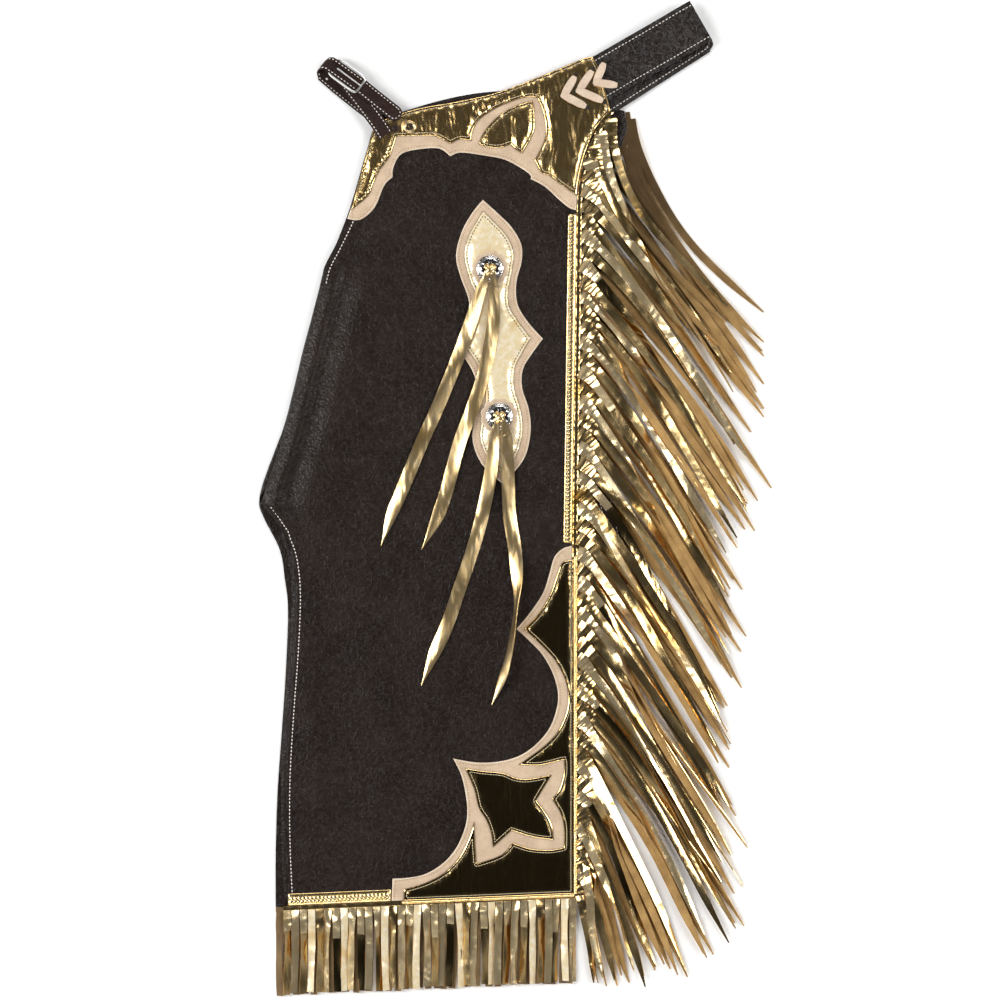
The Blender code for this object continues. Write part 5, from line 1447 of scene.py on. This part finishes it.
def strap_widths(run, width, tip):
    """A strap's width along it: a half circle at the rounded tip, full after it."""
    inside = np.clip(1 - run / (width / 2), 0, 0.985) * tip
    return width * np.sqrt(1 - inside**2)


def add_tip(rows, reach):
    """The places with one added past the first, where the rounded tip ends, and closer ones before it."""
    x, y, z, heading = rows[0]
    turn = math.radians(heading)
    steps = [1.0, 0.93, 0.8, 0.6, 0.35]
    return [(x + reach * k * math.cos(turn), y + reach * k * math.sin(turn), z, heading) for k in steps] + list(rows)


def make_strap(name, rows, width, nodes, tip=True, dashes=2.2):
    """A strap's ribbon, with a shallow dip where each row of stitches goes; returns its path and the run along it."""
    strap = strap_path(add_tip(rows, width / 2) if tip else rows, 4)
    run = along_line(strap[0])
    across = np.linspace(1, -1, 13)
    dip = -0.14 * np.exp(-(((np.abs(across) - 1 + 2 * dashes / width) / 0.12) ** 2))
    relief = np.broadcast_to(dip + 0.12 * (1 - across**2), (len(run), 13))[None]
    arrays = ribbon_arrays(
        strap[0][None], strap[1][None], strap[2][None], strap_widths(run, width, tip)[None], STRAP_THICK, 13, 0.0, relief
    )
    place(name, mesh_of(name, arrays[0], arrays[1]), [strap_hide], nodes)
    return strap, run


def tip_row(strap, run, width, dashes, lift):
    """The U of stitches round a rounded tip: a half circle about the place where the strap grows full."""
    turn = np.linspace(math.pi / 2, -math.pi / 2, 9)
    near = int(np.argmin(np.abs(run - width / 2)))
    path, side, up = (values[near] for values in strap)
    ahead = strap[0][0] - strap[0][near]
    ahead /= np.linalg.norm(ahead)
    radius = width / 2 - dashes
    points = path + np.outer(np.cos(turn), ahead) * radius + np.outer(np.sin(turn), side) * radius + up * lift
    return points, up


places = BILLET_TOP + fold_over(BILLET_TOP[-1], BILLET_LOW[0]) + BILLET_LOW
billet, billet_run = make_strap("billet", places, STRAP_WIDTH, ["billet_strap"])
shown = billet_run > STRAP_WIDTH / 2
billet_half = int(np.argmin(billet[0][:, 0]))
low_run = np.arange(len(billet_run)) > billet_half
row_at = STRAP_WIDTH / 2 - 2.2
rows = [strap_row(billet, sign * row_at, 0.74, shown & ~low_run) for sign in (1, -1)]
rows += [strap_row(billet, sign * row_at, 0.78, low_run, True) for sign in (1, -1)]
rows.append(tip_row(billet, billet_run, STRAP_WIDTH, 2.2, 0.75))
sew("billet_stitching", rows, white_thread, 4.0, 2.3, 0.95, 0.45)
keeper, keeper_run = make_strap("buckle_keeper", BUCKLE_STRAP, STRAP_WIDTH, ["buckle_strap"], tip=False)
rows = [strap_row(keeper, sign * row_at, 0.74) for sign in (1, -1)]
sew("keeper_stitching", rows, white_thread, 4.0, 2.3, 0.95, 0.45)

BUCKLE_CENTRE = (-177.8, 447.6)
BUCKLE_HEADING = -36.5
BUCKLE_LENGTH = 36.0
BUCKLE_WIDTH = 20.0
HEEL_BAR = 10.0
FRONT_BAR = 13.5


def on_buckle(along, aside, lift=0.0):
    """Places on the tilted buckle, from its centre, along and across the strap."""
    along, aside = np.asarray(along, float), np.asarray(aside, float)
    turn = math.radians(BUCKLE_HEADING)
    x = BUCKLE_CENTRE[0] + along * math.cos(turn) - aside * math.sin(turn)
    y = BUCKLE_CENTRE[1] + along * math.sin(turn) + aside * math.cos(turn)
    return np.stack([x, y, HEEL_BAR + (FRONT_BAR - HEEL_BAR) * (along / BUCKLE_LENGTH + 0.5) + lift], -1)


buckle_silver = plain("buckle_silver", (0.70, 0.69, 0.67), 0.24, 1.0)


def bent_wire(name, path, radii, closed, nodes):
    """A round wire: circles of the given radii, level sided, carried along the path."""
    if closed:
        along = np.roll(path, -1, 0) - np.roll(path, 1, 0)
    else:
        along = np.gradient(path, axis=0)
    along /= np.linalg.norm(along, axis=1)[:, None]
    side = np.stack([-along[:, 1], along[:, 0], along[:, 0] * 0], 1)
    side /= np.linalg.norm(side, axis=1)[:, None]
    up = np.cross(along, side)
    turn = -np.arange(12) * math.pi / 6
    ring = side[:, None] * np.cos(turn)[None, :, None] + up[:, None] * np.sin(turn)[None, :, None]
    points = path[:, None] + ring * np.broadcast_to(radii, len(path))[:, None, None]
    rows = len(path)
    quads = grid_quads(rows + closed, 12, around=True) % (rows * 12)
    c = np.arange(1, 11)
    cap = np.stack([c * 0, c, c + 1], 1)
    triangles = [] if closed else np.concatenate([cap, cap + (rows - 1) * 12])
    mesh = close_up(mesh_of(name, points.reshape(-1, 3), quads, triangles))
    return place(name, mesh, [buckle_silver], nodes)


angle = np.linspace(0, 2 * math.pi, 48, endpoint=False) + 0.01
squared = lambda wave: np.sign(wave) * np.abs(wave) ** 0.28
frame_path = on_buckle(squared(np.cos(angle)) * BUCKLE_LENGTH / 2, squared(np.sin(angle)) * BUCKLE_WIDTH / 2)
bent_wire("buckle_wire", frame_path, 1.3, True, ["buckle_frame"])
tongue_along = np.array([-13.0, -2.0, 14.0, 18.5])
tongue_path = run_through(on_buckle(tongue_along, 0 * tongue_along, np.array([3.7, 2.7, 2.0, 2.0])), 5)
bent_wire("buckle_prong", tongue_path, np.linspace(1.0, 0.62, len(tongue_path)), False, ["buckle_tongue"])
sew("billet_hole", [([(-201.4, 446.6, 2.15), (-198.2, 444.4, 2.15)], level)], white_thread, 3.6, 2.6, 2.4, 0.2)

# The eyelet and the rivet beside the strap: a bright rolled ring set round a hole, and a dark domed cap.
GROMMET = (-112, 394)
RIVET = (-127, 392.5)
pale_brass = plain("pale_brass", (0.86, 0.68, 0.40), 0.22, 1.0)
EYELET = [
    # radius, height
    (0, 0.15), (3.5, 0.15), (4.1, 0.45), (4.7, 1.1), (5.5, 1.35), (6.3, 1.0), (6.9, 0.15), (6.9, 0.0), (0, 0.0),
]
CAP = [(0, 1.5), (1.6, 1.42), (2.9, 1.1), (3.9, 0.55), (4.2, 0.1), (4.2, 0.0), (0, 0.0)]
turned("eyelet", EYELET, GROMMET, ON_TRIM, pale_brass, ["grommet"], "silver_metal")
x, y = GROMMET
# The eyelet's hole: a dark disc of painted shade.
sew("eyelet_hole", [([(x - 4.2, y, ON_TRIM + 0.2), (x + 4.2, y, ON_TRIM + 0.2)], level)], hole_painted_shade, 8.4, 8.0, 8.0, 0.3)
turned("rivet_cap", CAP, RIVET, ON_TRIM, strap_hide, ["rivet"], "leather")

# The leg strap: a narrow stitched strap with holes that fastens behind the leg. It lies between the legs
# and shows through the fringe.
LEG_STRAP_WIDTH = 16.0
LEG_STRAP = [
    (113, -84, 4.3, -78), (101, -29, 4.3, -77), (86, 40, 4.3, -76), (74, 98, 4.3, -76), (64, 150, 4.3, -73),
    (54.5, 184, 4.3, -71),
]
leg_tie, leg_tie_run = make_strap("leg_tie", LEG_STRAP, LEG_STRAP_WIDTH, ["leg_strap"], dashes=2.4)
full = leg_tie_run > LEG_STRAP_WIDTH / 2
rows = [strap_row(leg_tie, sign * 5.6, 0.76, full) for sign in (1, -1)]
rows.append(tip_row(leg_tie, leg_tie_run, LEG_STRAP_WIDTH, 2.4, 0.78))
sew("leg_tie_stitching", rows, white_thread, 4.0, 2.3, 0.95, 0.45)
middle = leg_tie[0][(leg_tie_run > 20) & (leg_tie_run < 150)] + (0, 0, STRAP_THICK / 2)
# The strap's holes: dark marks of painted shade.
sew("leg_tie_holes", [(middle, level)], hole_painted_shade, 19.0, 3.4, 3.4, 0.2)
